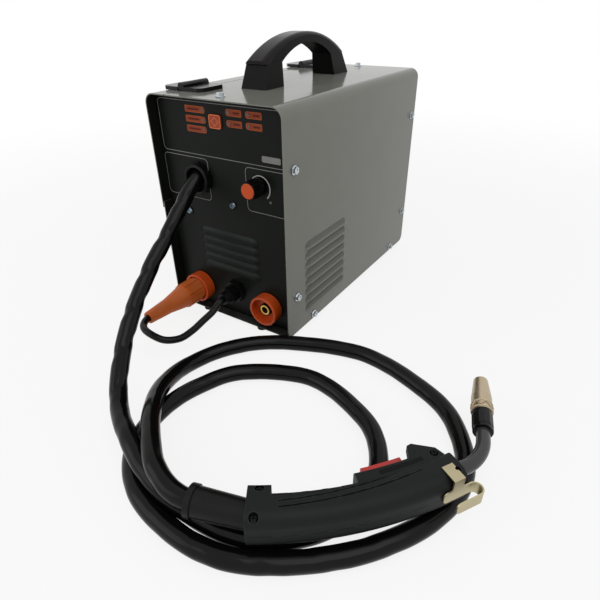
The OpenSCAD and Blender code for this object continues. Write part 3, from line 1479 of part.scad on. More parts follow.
// Hook frame: x runs forwards along the handle's back, y inwards, at the strip's inner face
module hook_strip(len, y) {
    translate([hook_leg / 2 - len, y, hook_z0]) rotate([90, 0, 0]) linear_extrude(hook_t) {
        translate([hook_end_r, 0]) square([len - hook_end_r, hook_w]);
        translate([0, hook_end_r]) square([2 * hook_end_r, hook_w - 2 * hook_end_r]);
        for (z = [hook_end_r, hook_w - hook_end_r]) translate([hook_end_r, z]) circle(r = hook_end_r);
    }
}
module torch_hook() {
    bend_x = hook_leg / 2;
    out = hook_bend_r;
    color([0.73, 0.70, 0.60]) torch_place() {
        at_polar(grip_back_r + hook_out, hook_deg) rotate(hook_deg) {
            hook_strip(hook_leg, 0);
            hook_strip(hook_lip, -2 * out);
            translate([bend_x - tiny, -hook_t - out + hook_t / 2, hook_z0]) intersection() {
                difference() {
                    cylinder(r = out + hook_t / 2, h = hook_w);
                    translate([0, 0, -1]) cylinder(r = out - hook_t / 2, h = hook_w + 2);
                }
                translate([0, -2 * out, -1]) cube([2 * out, 4 * out, hook_w + 2]);
            }
            translate([-hook_tab_w / 2, -hook_t, hook_z0]) cube([hook_tab_w, hook_t, hook_top() - hook_z0]);
        }
        difference() {
            at_polar(grip_back_r + hook_out, hook_deg) rotate(hook_deg)
                translate([-hook_tab_w / 2, -hook_t, hook_top() - hook_t]) cube([hook_tab_w, hook_t + 14, hook_t]);
            at_polar(torch_screws[3][0], torch_screws[3][1]) cylinder(d = torch_screw_d + run_gap, h = grip_thick);
        }
    }
}
function hook_top() = grip_thick / 2 + seat_gap + hook_t;

// Cords
function spline(p, i, f) =
    let (a = p[max(i - 1, 0)], b = p[i], c = p[i + 1], d = p[min(i + 2, len(p) - 1)])
    0.5 * (2 * b + (c - a) * f + (2 * a - 5 * b + 4 * c - d) * f * f + (3 * b - a - 3 * c + d) * f * f * f);
function on_route(p, u) = let (i = min(floor(u), len(p) - 2)) spline(p, i, u - i);
function unit(v) = v / norm(v);
function route_points(p, n) = [for (i = [0 : n - 1]) on_route(p, i * (len(p) - 1) / (n - 1))];
// Tube through the points of a path; the hint is a direction that the path never takes
module swept_tube(path, d, sides, hint) {
    n = len(path);
    rings = [
        for (i = [0 : n - 1])
            let (t = unit(path[min(i + 1, n - 1)] - path[max(i - 1, 0)]))
            let (side = unit(cross(t, hint)))
            let (up = cross(t, side))
            for (k = [0 : sides - 1])
                path[i] + d / 2 * (cos(360 * k / sides) * side + sin(360 * k / sides) * up)
    ];
    ends = [for (k = [1 : sides - 2]) [0, k, k + 1], for (k = [1 : sides - 2])
        [(n - 1) * sides, (n - 1) * sides + k + 1, (n - 1) * sides + k]];
    walls = [
        for (i = [0 : n - 2], k = [0 : sides - 1])
            let (a = i * sides + k, b = i * sides + (k + 1) % sides)
            each [[a, a + sides, b + sides], [a, b + sides, b]]
    ];
    polyhedron(points = rings, faces = concat(ends, walls));
}
module torch_hose() {
    color([0.10, 0.10, 0.10]) swept_tube(route_points(hose_route, hose_rings), hose_d, hose_sides, [0, 0, 1]);
}
module polarity_lead() {
    color([0.09, 0.09, 0.09]) swept_tube(route_points(lead_route, lead_rings), lead_d, lead_sides, [0, 0, 1]);
}

module plug_boot() {
    straight = 30;
    taper = 24;
    ribs = 5;
    rib_pitch = (boot_len - straight - taper) / ribs;
    color([0.80, 0.41, 0.18]) facing_front(socket_xs[0], boot_y1, socket_z) difference() {
        union() {
            cylinder(d = boot_d - 1.6, h = straight);
            for (i = [0 : boot_ribs - 1]) rotate(i * 360 / boot_ribs)
                translate([boot_d / 2 - 2.5, -4.5, 8]) cube([2.5, 9, straight - 9]);
            translate([0, 0, straight - tiny]) cylinder(d1 = boot_d - 2, d2 = boot_tip_d + 5, h = taper + tiny);
            for (i = [0 : ribs - 1]) translate([0, 0, straight + taper + i * rib_pitch - tiny])
                cylinder(d1 = boot_tip_d + 4.4 - i, d2 = boot_tip_d + 3.4 - i, h = rib_pitch + 2 * tiny);
        }
        translate([0, 0, boot_len - 14]) cylinder(d = boot_bore_d, h = 15);
        translate([0, 0, -1]) cylinder(d = pin_d + run_gap, h = 21);
    }
}
module plug_pin() {
    color([0.80, 0.66, 0.36]) facing_front(socket_xs[0], boot_y1, socket_z)
        translate([0, 0, -16]) cylinder(d = pin_d, h = 35);
}

base_pan();
cover();
side_door();
lower_side_panel();
front_panel();
rear_panel();
partition();
feet();
cover_screws();
pan_head_screws();
handle_arch();
handle_cap();
hinge_cover_leaves();
hinge_door_leaves();
hinge_pins();
door_latch();
outlet_nut();
socket_collars();
socket_contacts();
polarity_gland();
indicator_lenses();
mode_button();
current_knob();
knob_cap();
knob_shaft();
potentiometer();
rocker_housing();
power_rocker();
mains_gland();
fan_frame();
fan_impeller();
power_board();
heat_sinks();
transformer();
feed_plate();
feed_motor();
drive_roll();
pressure_arm();
pressure_roll();
tension_rod();
tension_knob();
wire_guides();
spool_hub();
wire_spool();
wire_winding();
spool_nut();
handle_shell_left();
handle_shell_right();
trigger();
trigger_switch();
cable_sleeve();
swan_neck();
neck_insulator();
gas_nozzle();
contact_tip();
torch_hook();
torch_hose();
polarity_lead();
plug_boot();
plug_pin();
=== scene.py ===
"""Finishes, print and soft parts of a portable wire-feed welding machine, round its CAD frame."""

import json  # noqa: E402
import math  # noqa: E402

import bpy  # noqa: E402
from bpy.props import (  # noqa: E402
    FloatProperty, FloatVectorProperty, IntProperty, PointerProperty)
from bpy.types import Operator, Panel, PropertyGroup  # noqa: E402
from mathutils import Matrix, Vector  # noqa: E402


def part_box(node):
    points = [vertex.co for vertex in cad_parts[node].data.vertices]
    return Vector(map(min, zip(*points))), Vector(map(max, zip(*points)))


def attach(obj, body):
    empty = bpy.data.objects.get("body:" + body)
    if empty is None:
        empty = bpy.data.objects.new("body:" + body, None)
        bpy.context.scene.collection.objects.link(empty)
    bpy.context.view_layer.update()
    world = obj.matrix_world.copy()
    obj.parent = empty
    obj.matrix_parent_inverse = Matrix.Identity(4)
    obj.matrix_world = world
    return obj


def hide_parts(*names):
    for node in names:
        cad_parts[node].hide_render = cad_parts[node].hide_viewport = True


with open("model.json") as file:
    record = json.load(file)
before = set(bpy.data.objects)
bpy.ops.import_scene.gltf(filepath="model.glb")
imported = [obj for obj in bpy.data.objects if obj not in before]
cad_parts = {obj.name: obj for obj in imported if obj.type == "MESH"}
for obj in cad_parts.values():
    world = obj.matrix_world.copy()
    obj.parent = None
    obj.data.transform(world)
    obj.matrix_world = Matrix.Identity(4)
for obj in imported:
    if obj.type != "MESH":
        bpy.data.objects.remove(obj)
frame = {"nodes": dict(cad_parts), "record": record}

bl_info = {
    "name": "Wire-feed welding machine",
    "version": (1, 0, 0),
    "blender": (4, 5, 0),
    "location": "3D View > Sidebar > Welder",
    "description": "Dresses the CAD frame of a portable welding machine",
    "category": "Object",
}

MM = 0.001
NODES = frame["nodes"]
FULL_TURN = 2 * math.pi

# Planes and places of the CAD model, in millimetres
PANEL_Y = -157.0
BUTTON_FACE_Y = -158.8
CASE_MIDDLE_Z = 135.0
BUTTON_AT = (-2.75, 246.85)
DIAL_AT = (51.6, 183.9)
SOCKETS_MIDDLE_X = 0.75
SOCKETS_HALF_APART = 54.25
SOCKETS_Z = 33.0
PANEL_SCREWS = [(-60.0, 136.0), (11.0, 156.0)]
LEFT_LENSES = [(-20.5, 256.8), (-20.5, 246.5), (-20.5, 236.2)]
RIGHT_LENSES = [(15.8, 257.5), (15.8, 246.5), (41.8, 257.5), (41.8, 246.5)]

# The torch on the floor: its place and turn, the bend of its grip, and its neck
TORCH_AT = (211.5, -397.0, 35.0)
TORCH_TURN = math.radians(32)
GRIP_BEND = 335.0
NECK_ANGLE = math.radians(28.2)
NECK_REACH = 336.0
NECK_STRAIGHT = 13.8
NECK_BEND = 45.0
NECK_TURN = math.radians(47)
NECK_END = 9.0
INSULATOR_LENGTH = 22.0

# The slot in the torch's nose, painted dark as shade, about the middle of the grip's bend
SLOT_RADII = (320.2, 324.1)
SLOT_ANGLES = (0.310, 0.428)

# Route of the torch hose, from the outlet to the torch
HOSE_ROUTE = [
    (-36, -150, 186), (-36, -163, 180.5), (-36.5, -183, 165), (-35.5, -220, 132),
    (-30, -258, 105), (-17.5, -299.5, 75.5), (3.5, -337.5, 48.5), (33, -368.5, 30.5),
    (76.5, -392.5, 30.5), (120, -407, 22.5), (165, -407, 10.5), (213, -397.5, 9),
    (252, -366, 9), (271, -320, 9), (262, -277, 9), (229, -241, 9),
    (157, -218.5, 9), (89, -248, 9), (62, -290, 9), (54, -337, 9),
    (67, -383, 9), (104, -414, 9), (154, -425, 9), (205, -420, 9),
    (252, -394, 9), (293, -356, 9), (323, -308, 9), (332, -259, 9),
    (313, -212, 9), (273, -176, 9), (185, -151.5, 9), (95, -181, 9),
    (49, -221, 9.5), (28, -270.5, 10), (41, -321.5, 22.5), (74, -364, 36),
    (112, -397, 40), (136, -409.5, 38.5), (157, -412, 35.5), (178.5, -406.5, 35),
]

# Route of the polarity lead, from its gland to the plug boot
LEAD_ROUTE = [
    (4.6, -184, 41.4), (4.5, -190, 40.6), (2.5, -202, 32.5), (0.5, -217.5, 27.5),
    (-1, -235.5, 23), (-4, -253.5, 21.5), (-14, -268.5, 25), (-31.5, -273.5, 31),
    (-46, -268.5, 32), (-53.5, -256, 33), (-53.5, -242, 33),
]

# Dents of the hose, along it: where they start, grow, end and fade, and a turn of their spiral
DENT_START = 18.0
DENT_GROWTH = 30.0
DENT_END = 330.0
DENT_FADE = 110.0
DENT_TURN = 46.0
DENT_LEFT = 0.16
FAR_DENT_SHARE = 0.32
FAR_DENT_WAVE, LUMP_WAVE, LUMP_SHIFT_WAVE, FLAT_WAVE, RIDGE_WAVE = 131.0, 11.0, 37.0, 60.0, 95.0
RIDGE_HEIGHT = 0.16
CREASE_STEP = 15.0


def linear(red, green, blue):
    """A display colour of 0 to 255 a channel as a linear colour."""
    def channel(value):
        value /= 255
        return value / 12.92 if value <= 0.04045 else ((value + 0.055) / 1.055) ** 2.4

    return (channel(red), channel(green), channel(blue), 1.0)


def scaled(tint, factor):
    """A linear colour made lighter or darker."""
    return tuple(min(1.0, value * factor) for value in tint[:3]) + (1.0,)


# ---- settings
class StageSettings(PropertyGroup):
    """Camera, lamps and floor."""

    camera_at: FloatVectorProperty(
        name="Camera position", description="Where the camera stands", subtype="TRANSLATION",
        default=(0.36529, -0.5538, 0.35389))
    camera_back: FloatVectorProperty(
        name="Camera direction", description="From what the camera sees back to the camera",
        subtype="DIRECTION", default=(0.4708, -0.7073, 0.5274))
    camera_roll: FloatProperty(
        name="Camera roll", description="Turn about the line of sight", subtype="ANGLE",
        default=math.radians(-0.92))
    lens: FloatProperty(
        name="Lens", description="Focal length in millimetres", default=28.86, min=10)
    sky: FloatProperty(
        name="Sky light", description="Strength of the soft light all round", default=0.54, min=0)
    key: FloatProperty(
        name="Key lamp", description="Power of the large lamp above", default=8.0, min=0,
        unit="POWER")
    fill: FloatProperty(
        name="Fill lamp", description="Power of the lamp in front", default=5.0, min=0,
        unit="POWER")
    floor_colour: FloatVectorProperty(
        name="Floor", description="Colour of the floor", subtype="COLOR", size=4, min=0, max=1,
        default=(0.86, 0.86, 0.86, 1.0))


class PaintSettings(PropertyGroup):
    """Colours of the painted and moulded parts."""

    cover: FloatVectorProperty(
        name="Cover", description="Powder coat of the cover and door", subtype="COLOR", size=4,
        min=0, max=1, default=linear(127, 127, 120))
    panel: FloatVectorProperty(
        name="Panels", description="Powder coat of the front and rear panels", subtype="COLOR",
        size=4, min=0, max=1, default=linear(19, 22, 19))
    orange: FloatVectorProperty(
        name="Orange", description="Socket collars, knob cap and button", subtype="COLOR", size=4,
        min=0, max=1, default=linear(196, 74, 20))
    boot: FloatVectorProperty(
        name="Plug boot", description="Soft boot of the polarity plug", subtype="COLOR", size=4,
        min=0, max=1, default=linear(196, 96, 36))
    trigger: FloatVectorProperty(
        name="Trigger", description="Trigger of the torch", subtype="COLOR", size=4, min=0, max=1,
        default=linear(190, 45, 40))
    torch: FloatVectorProperty(
        name="Torch handle", description="Moulded handle of the torch", subtype="COLOR", size=4,
        min=0, max=1, default=linear(25, 27, 27))


class PrintSettings(PropertyGroup):
    """Printed lines and fields of the front panel."""

    line_width: FloatProperty(
        name="Line width", description="Width of the printed outlines", default=0.7 * MM,
        min=0.0002, unit="LENGTH")
    ink_height: FloatProperty(
        name="Ink height", description="How far the print stands out", default=0.12 * MM,
        min=0.00005, unit="LENGTH")
    line_colour: FloatVectorProperty(
        name="Lines", description="Colour of the printed lines", subtype="COLOR", size=4, min=0,
        max=1, default=linear(128, 128, 124))
    label_colour: FloatVectorProperty(
        name="Labels", description="Colour of the lamp labels", subtype="COLOR", size=4, min=0,
        max=1, default=linear(138, 56, 24))


class HoseSettings(PropertyGroup):
    """Surface of the torch hose and the lead."""

    hose_diameter: FloatProperty(
        name="Hose diameter", description="Outside diameter of the torch hose",
        default=17.5 * MM, unit="LENGTH")
    lead_diameter: FloatProperty(
        name="Lead diameter", description="Outside diameter of the polarity lead",
        default=8.5 * MM, unit="LENGTH")
    ring_step: FloatProperty(
        name="Ring step", description="Distance between the rings of the tubes",
        default=1.5 * MM, min=0.0005, unit="LENGTH")
    sides: IntProperty(name="Sides", description="Sides of the hose's rings", default=36, min=12)
    dent: FloatProperty(
        name="Dent depth", description="Depth of the spiral dents near the outlet",
        default=1.15 * MM, unit="LENGTH")
    wrinkle: FloatProperty(
        name="Wrinkle depth", description="Depth of the creases inside tight bends",
        default=0.1 * MM, unit="LENGTH")


# ---- node trees
class Graph:
    """Writes a shader tree in few lines."""

    def __init__(self, tree):
        self.tree = tree
        tree.nodes.clear()

    def put(self, socket, value):
        """Sets a socket to a value, or links another node's output to it."""
        if isinstance(value, bpy.types.NodeSocket):
            self.tree.links.new(value, socket)
        else:
            socket.default_value = value

    def node(self, kind, inputs=None, **settings):
        """A new node with its settings, and its inputs by name or number."""
        made = self.tree.nodes.new(kind)
        for name, value in settings.items():
            setattr(made, name, value)
        for name, value in (inputs or {}).items():
            self.put(made.inputs[name], value)
        return made

    def calc(self, operation, *values, clamp=False):
        """A number worked out from numbers."""
        inputs = dict(enumerate(values))
        made = self.node("ShaderNodeMath", inputs, operation=operation, use_clamp=clamp)
        return made.outputs[0]

    def vector(self, operation, *values, output="Vector"):
        """A vector, or with output="Value" a number, worked out from vectors."""
        made = self.node("ShaderNodeVectorMath", dict(enumerate(values)), operation=operation)
        return made.outputs[output]

    def at(self, name="Object"):
        """The place on the object, or its Normal, in the object's own axes."""
        return self.node("ShaderNodeTexCoord").outputs[name]

    def split(self, vector):
        """The X, Y and Z of a vector."""
        return self.node("ShaderNodeSeparateXYZ", {"Vector": vector}).outputs

    def reach(self, first, second):
        """Distance from two numbers at right angles."""
        squares = [self.calc("MULTIPLY", value, value) for value in (first, second)]
        return self.calc("SQRT", self.calc("ADD", *squares))

    def openness(self, distance):
        """1 in the open and less in hollows, as far as the distance."""
        occlusion = self.node("ShaderNodeAmbientOcclusion", {"Distance": distance}, samples=8)
        return occlusion.outputs["AO"]

    def mix(self, share, first, second):
        """A colour between two."""
        return self.node(
            "ShaderNodeMix", {0: share, 6: first, 7: second}, data_type="RGBA").outputs[2]

    def between(self, value, low, high, to_low=0.0, to_high=1.0):
        """A soft step from to_low to to_high, while the value goes from low to high."""
        made = self.node("ShaderNodeMapRange", {
            "Value": value, "From Min": low, "From Max": high, "To Min": to_low, "To Max": to_high,
        }, interpolation_type="SMOOTHSTEP")
        return made.outputs[0]

    def noise(self, vector, scale, detail):
        """Cloudy noise from 0 to 1."""
        return self.node(
            "ShaderNodeTexNoise", {"Vector": vector, "Scale": scale, "Detail": detail}).outputs[0]


GROUPS = {}
MATERIALS = {}


def effect_group(name, inputs, outputs):
    """An empty node group with named number sockets, kept for the materials."""
    tree = bpy.data.node_groups.new(name, "ShaderNodeTree")
    for label, value in inputs.items():
        socket = tree.interface.new_socket(label, in_out="INPUT", socket_type="NodeSocketFloat")
        socket.default_value = value
    for label in outputs:
        tree.interface.new_socket(label, in_out="OUTPUT", socket_type="NodeSocketFloat")
    GROUPS[name] = tree
    g = Graph(tree)
    return g, g.node("NodeGroupInput").outputs, g.node("NodeGroupOutput").inputs


def make_surface_grain():
    """Fine grain and broad unevenness of a painted or moulded surface."""
    g, given, out = effect_group(
        "surface_grain", {"Grain Scale": 1500.0, "Mottle Scale": 25.0}, ["Grain", "Mottle"])
    place = g.at()
    g.put(out["Grain"], g.noise(place, given["Grain Scale"], 3.0))
    g.put(out["Mottle"], g.between(g.noise(place, given["Mottle Scale"], 4.0), 0.3, 0.7))


def make_edge_rub():
    """Mask of the edges, broken up as by handling."""
    g, given, out = effect_group(
        "edge_rub", {"Width": 0.8 * MM, "Break Scale": 160.0}, ["Mask"])
    round_normal = g.node("ShaderNodeBevel", {"Radius": given["Width"]}, samples=4).outputs[0]
    true_normal = g.node("ShaderNodeNewGeometry").outputs["Normal"]
    alike = g.vector("DOT_PRODUCT", round_normal, true_normal, output="Value")
    edge = g.between(g.calc("SUBTRACT", 1.0, alike), 0.01, 0.16)
    broken = g.between(g.noise(g.at(), given["Break Scale"], 5.0), 0.42, 0.62)
    g.put(out["Mask"], g.calc("MULTIPLY", edge, broken))


def make_settled_dust():
    """Mask of thin dust on what faces up."""
    g, given, out = effect_group("settled_dust", {"Scale": 60.0}, ["Mask"])
    up = g.split(g.at("Normal"))["Z"]
    patch = g.between(g.noise(g.at(), given["Scale"], 6.0), 0.4, 0.75)
    g.put(out["Mask"], g.calc("MULTIPLY", g.between(up, 0.3, 0.95), patch))


def make_drawn_lines():
    """Fine lines along one way of a rolled or brushed metal."""
    g, given, out = effect_group(
        "drawn_lines", {"Across Scale": 1800.0, "Along Scale": 40.0}, ["Lines"])
    stretch = g.node("ShaderNodeCombineXYZ", {
        "X": given["Along Scale"], "Y": given["Along Scale"], "Z": given["Across Scale"]})
    g.put(out["Lines"], g.noise(g.vector("MULTIPLY", g.at(), stretch.outputs[0]), 1.0, 3.0))


def make_groups():
    """Builds the shared effects once."""
    for make in (make_surface_grain, make_edge_rub, make_settled_dust, make_drawn_lines):
        make()


def group_node(g, name, inputs):
    """A shared effect in a material, with the material's own values."""
    return g.node("ShaderNodeGroup", inputs, node_tree=GROUPS[name]).outputs


def finish(name, tint, rough, metal=0.0, specular=0.5, grain=1500.0, depth=0.02, mottle=0.08,
           span=0.08, rub=None, dust=0.0, lines=0.0, coat=0.0, adjust=None):
    """A material with its grain, unevenness, rubbed edges, dust and drawn lines.

    The depth of the grain is in millimetres, and rub is the colour of the edges and its share.
    """
    material = bpy.data.materials.new(name)
    material.use_nodes = True
    g = Graph(material.node_tree)
    surface = group_node(g, "surface_grain", {"Grain Scale": grain, "Mottle Scale": 25.0})
    colour = g.mix(surface["Mottle"], scaled(tint, 1 - mottle), scaled(tint, 1 + mottle))
    roughness = g.calc("MULTIPLY_ADD", surface["Mottle"], span, rough - span / 2)
    height = surface["Grain"]
    if lines:
        drawn = group_node(g, "drawn_lines", {})["Lines"]
        height = g.calc("MULTIPLY_ADD", drawn, lines, height)
        roughness = g.calc("MULTIPLY_ADD", drawn, 0.12, roughness)
    if rub:
        edge_colour, share = rub
        worn = group_node(g, "edge_rub", {"Width": 0.8 * MM})["Mask"]
        colour = g.mix(g.calc("MULTIPLY", worn, share), colour, edge_colour)
    if dust:
        settled = g.calc("MULTIPLY", group_node(g, "settled_dust", {})["Mask"], dust)
        colour = g.mix(settled, colour, linear(150, 146, 138))
        roughness = g.calc("MULTIPLY_ADD", settled, 0.5, roughness, clamp=True)
    if adjust:
        colour, roughness, height = adjust(g, colour, roughness, height)
    bump = g.node("ShaderNodeBump", {"Height": height, "Strength": 1.0, "Distance": depth * MM})
    shader = g.node("ShaderNodeBsdfPrincipled", {
        "Base Color": colour, "Roughness": roughness, "Metallic": metal,
        "Specular IOR Level": specular, "Coat Weight": coat, "Coat Roughness": 0.2,
        "Normal": bump.outputs[0]})
    g.node("ShaderNodeOutputMaterial", {"Surface": shader.outputs[0]})
    MATERIALS[name] = material


# ---- what single finishes add
def inner_dark_and_painted_shade(g, colour, roughness, height):
    """The cover is black on the faces that look to the case's middle, and darker with painted
    shade on its low louvre faces that tilt up and in its hollows.
    """
    place, normal = g.at(), g.at("Normal")
    from_middle = g.vector("SUBTRACT", place, (0.0, 0.0, CASE_MIDDLE_Z * MM))
    across = g.vector("MULTIPLY", from_middle, (1.0, 0.0, 1.0))
    facing = g.vector("DOT_PRODUCT", across, normal, output="Value")
    inside = g.between(facing, -0.03, -0.01, 1.0, 0.0)
    up, high = g.split(normal)["Z"], g.split(place)["Z"]
    # Painted shade: low faces that tilt up, as on the louvres, are half mixed to a darker grey,
    # and rougher.
    louvre_painted_shade = g.calc("MULTIPLY", g.between(up, 0.08, 0.3), g.between(high, 0.2, 0.21, 1.0, 0.0))
    colour = g.mix(g.calc("MULTIPLY", louvre_painted_shade, 0.5), colour, linear(60, 60, 56))
    roughness = g.calc("MULTIPLY_ADD", louvre_painted_shade, 0.12, roughness)
    # Painted shade: darker where occlusion finds hollows within 4 mm.
    hollow_painted_shade = g.between(g.openness(4 * MM), 0.55, 0.96, 0.85, 0.0)
    colour = g.mix(hollow_painted_shade, colour, linear(24, 25, 24))
    return g.mix(inside, colour, linear(24, 26, 24)), roughness, height


def hood_painted_light_and_shade(g, colour, roughness, height):
    """The pressed hoods of the panel get a painted highlight where they tilt up, and painted black
    shade in their hollows and where they face down.
    """
    up = g.split(g.at("Normal"))["Z"]
    # Painted highlight: faces that tilt up are lighter.
    hood_painted_highlight = g.calc("MULTIPLY", g.between(up, 0.12, 0.7), 0.75)
    colour = g.mix(hood_painted_highlight, colour, linear(50, 56, 55))
    black = linear(3, 3, 3)
    # Painted shade: black where occlusion finds hollows, then black on faces that look down.
    colour = g.mix(g.between(g.openness(5 * MM), 0.6, 0.97, 0.95, 0.0), colour, black)
    return g.mix(g.between(up, -0.5, -0.12, 1.0, 0.0), colour, black), roughness, height


def part_screws(g, colour, roughness, height):
    """Hinge pins are dark, the screws of the panel blue zinc, and those in the torch black."""
    place = g.split(g.at())
    pin = g.calc("MULTIPLY", g.between(place["X"], -0.058, -0.057, 1.0, 0.0),
                 g.between(place["Z"], 0.27, 0.271))
    colour = g.mix(pin, colour, linear(44, 44, 45))
    on_panel = g.between(place["Y"], -0.158, -0.156, 1.0, 0.0)
    colour = g.mix(on_panel, colour, linear(122, 138, 148))
    in_torch = g.between(place["Y"], -0.24, -0.22, 1.0, 0.0)
    roughness = g.calc("MULTIPLY_ADD", in_torch, 0.2, roughness)
    return g.mix(in_torch, colour, linear(34, 35, 36)), roughness, height


def ringed_contact(g, colour, roughness, height):
    """The contacts of the sockets sit in a dark ring, and deep brass is darker with painted shade.
    """
    place = g.split(g.at())
    from_middle = g.calc("ABSOLUTE", g.calc("SUBTRACT", place["X"], SOCKETS_MIDDLE_X * MM))
    across = g.calc("SUBTRACT", from_middle, SOCKETS_HALF_APART * MM)
    over = g.calc("SUBTRACT", place["Z"], SOCKETS_Z * MM)
    front = g.between(place["Y"], -0.15, -0.149, 1.0, 0.0)
    ring = g.calc("MULTIPLY", g.between(g.reach(across, over), 6.3 * MM, 6.6 * MM), front)
    # Painted shade: brass deep in the sockets, where occlusion is strong, turns dark brown.
    deep_painted_shade = g.between(g.openness(10 * MM), 0.1, 0.6, 0.75, 0.0)
    colour = g.mix(deep_painted_shade, colour, linear(70, 44, 22))
    roughness = g.calc("MULTIPLY_ADD", ring, 0.3, roughness)
    return g.mix(ring, colour, linear(52, 26, 14)), roughness, height


def button_tone(g, colour, roughness, height):
    """The mode button, high on the panel, is a deeper orange than the knob's cap."""
    high = g.split(g.at())["Z"]
    return g.mix(g.between(high, 0.21, 0.22), colour, linear(158, 62, 28)), roughness, height


def nose_slot(g):
    """Mask of the slot in the torch's nose, in polar places about the grip's bend; the slot is
    painted shade and a bump, not cut.
    """
    turned = g.node("ShaderNodeVectorRotate", {
        "Vector": g.at(), "Center": (TORCH_AT[0] * MM, TORCH_AT[1] * MM, 0.0),
        "Angle": -TORCH_TURN}, rotation_type="Z_AXIS")
    place = g.split(turned.outputs[0])
    along = g.calc("SUBTRACT", place["X"], TORCH_AT[0] * MM)
    across = g.calc("SUBTRACT", (GRIP_BEND + TORCH_AT[1]) * MM, place["Y"])
    up = g.calc("ABSOLUTE", g.split(g.at("Normal"))["Z"])
    mask = g.between(up, 0.8, 0.9)
    limits = ((g.reach(along, across), [radius * MM for radius in SLOT_RADII], 0.3 * MM),
              (g.calc("ARCTAN2", along, across), SLOT_ANGLES, 0.001))
    for value, (low, high), soft in limits:
        mask = g.calc("MULTIPLY", mask, g.between(value, low, low + soft))
        mask = g.calc("MULTIPLY", mask, g.between(value, high, high + soft, 1.0, 0.0))
    return mask


def painted_hollow_shade(g, colour, roughness, height):
    """Grooves, wells and gaps get painted shade, darker than the open faces, and the nose has its
    slot, painted dark as shade and bumped in.
    """
    slot = nose_slot(g)
    # Painted shade: near-black where occlusion finds hollows, and in the nose's slot.
    shade = g.between(g.openness(6 * MM), 0.25, 0.8, 0.22, 1.0)
    shade = g.calc("MULTIPLY", shade, g.calc("MULTIPLY_ADD", slot, -0.85, 1.0))
    height = g.calc("MULTIPLY_ADD", slot, -6.0, height)
    roughness = g.calc("MULTIPLY_ADD", shade, -0.2, g.calc("ADD", roughness, 0.2))
    return g.mix(shade, linear(4, 4, 5), colour), roughness, height


def zinc_flowers(g, colour, roughness, height):
    """Zinc crystals of galvanised sheet."""
    cell = g.node("ShaderNodeTexVoronoi", {"Vector": g.at(), "Scale": 160.0, "Randomness": 1.0})
    tone = g.node("ShaderNodeSeparateColor", {"Color": cell.outputs["Color"]}).outputs[0]
    colour = g.mix(g.calc("MULTIPLY", tone, 0.5), colour, linear(215, 217, 220))
    return colour, g.calc("MULTIPLY_ADD", tone, 0.16, roughness), height


def board_tracks(g, colour, roughness, height):
    """Copper tracks under the green mask of the circuit board."""
    track = g.node("ShaderNodeTexBrick", {"Vector": g.at(), "Scale": 90.0, "Mortar Size": 0.03})
    mask = g.calc("SUBTRACT", 1.0, track.outputs["Fac"])
    return g.mix(g.calc("MULTIPLY", mask, 0.35), linear(60, 120, 60), colour), roughness, height


# ---- finishes
def make_finishes(paint):
    """One material for each slot of the record."""
    make_case_finishes(paint)
    make_fitting_finishes(paint)
    make_inner_finishes()
    make_torch_finishes(paint)


def make_case_finishes(paint):
    """Sheet metal, screws, feet, handle and hinges."""
    finish("cover_paint", paint.cover, 0.12, specular=0.12, grain=700, depth=0.004, mottle=0.02,
           span=0.03, rub=(linear(172, 172, 166), 0.35), dust=0.03, adjust=inner_dark_and_painted_shade)
    finish("panel_paint", paint.panel, 0.4, specular=0.09, grain=1300,
           rub=(linear(66, 69, 66), 0.5), adjust=hood_painted_light_and_shade)
    finish("pan_steel", linear(36, 38, 36), 0.5, specular=0.3, dust=0.1,
           rub=(linear(150, 150, 148), 0.3))
    finish("zinc_sheet", linear(168, 170, 172), 0.42, metal=1.0, mottle=0.05, lines=0.4,
           adjust=zinc_flowers)
    finish("foot_rubber", linear(26, 26, 26), 0.85, specular=0.2, depth=0.05, dust=0.25)
    finish("zinc_screws", linear(196, 202, 206), 0.26, metal=1.0, depth=0.01, adjust=part_screws)
    finish("handle_plastic", linear(19, 18, 18), 0.32, specular=0.06, grain=2200, depth=0.03,
           mottle=0.05, rub=(linear(86, 84, 82), 0.35))
    finish("cap_plastic", linear(30, 27, 27), 0.26, specular=0.1, grain=2200, depth=0.03,
           mottle=0.05, rub=(linear(98, 94, 94), 0.3))
    finish("hinge_plastic", linear(15, 15, 16), 0.2, specular=0.25, grain=2000, depth=0.015,
           rub=(linear(84, 84, 84), 0.35))


def make_fitting_finishes(paint):
    """Sockets, glands, knob, button, lamps and rocker."""
    finish("fitting_plastic", linear(12, 12, 13), 0.28, specular=0.14, grain=2000, depth=0.015,
           rub=(linear(70, 70, 70), 0.35))
    finish("collar_orange", paint.orange, 0.42, specular=0.35, grain=1800, mottle=0.1,
           rub=(linear(235, 130, 70), 0.3), dust=0.06)
    finish("boot_orange", paint.boot, 0.5, specular=0.3, grain=900, depth=0.06, mottle=0.12,
           rub=(linear(230, 140, 90), 0.3), dust=0.15)
    finish("knob_orange", paint.orange, 0.48, specular=0.3, grain=1800, mottle=0.05,
           adjust=button_tone)
    finish("rocker_red", linear(150, 24, 20), 0.35, grain=1800, depth=0.01)
    finish("lens_plastic", linear(92, 58, 42), 0.3, grain=800, depth=0.01, coat=0.1)
    finish("brass", linear(206, 168, 92), 0.3, metal=1.0, depth=0.01, mottle=0.1, lines=0.3,
           adjust=ringed_contact)


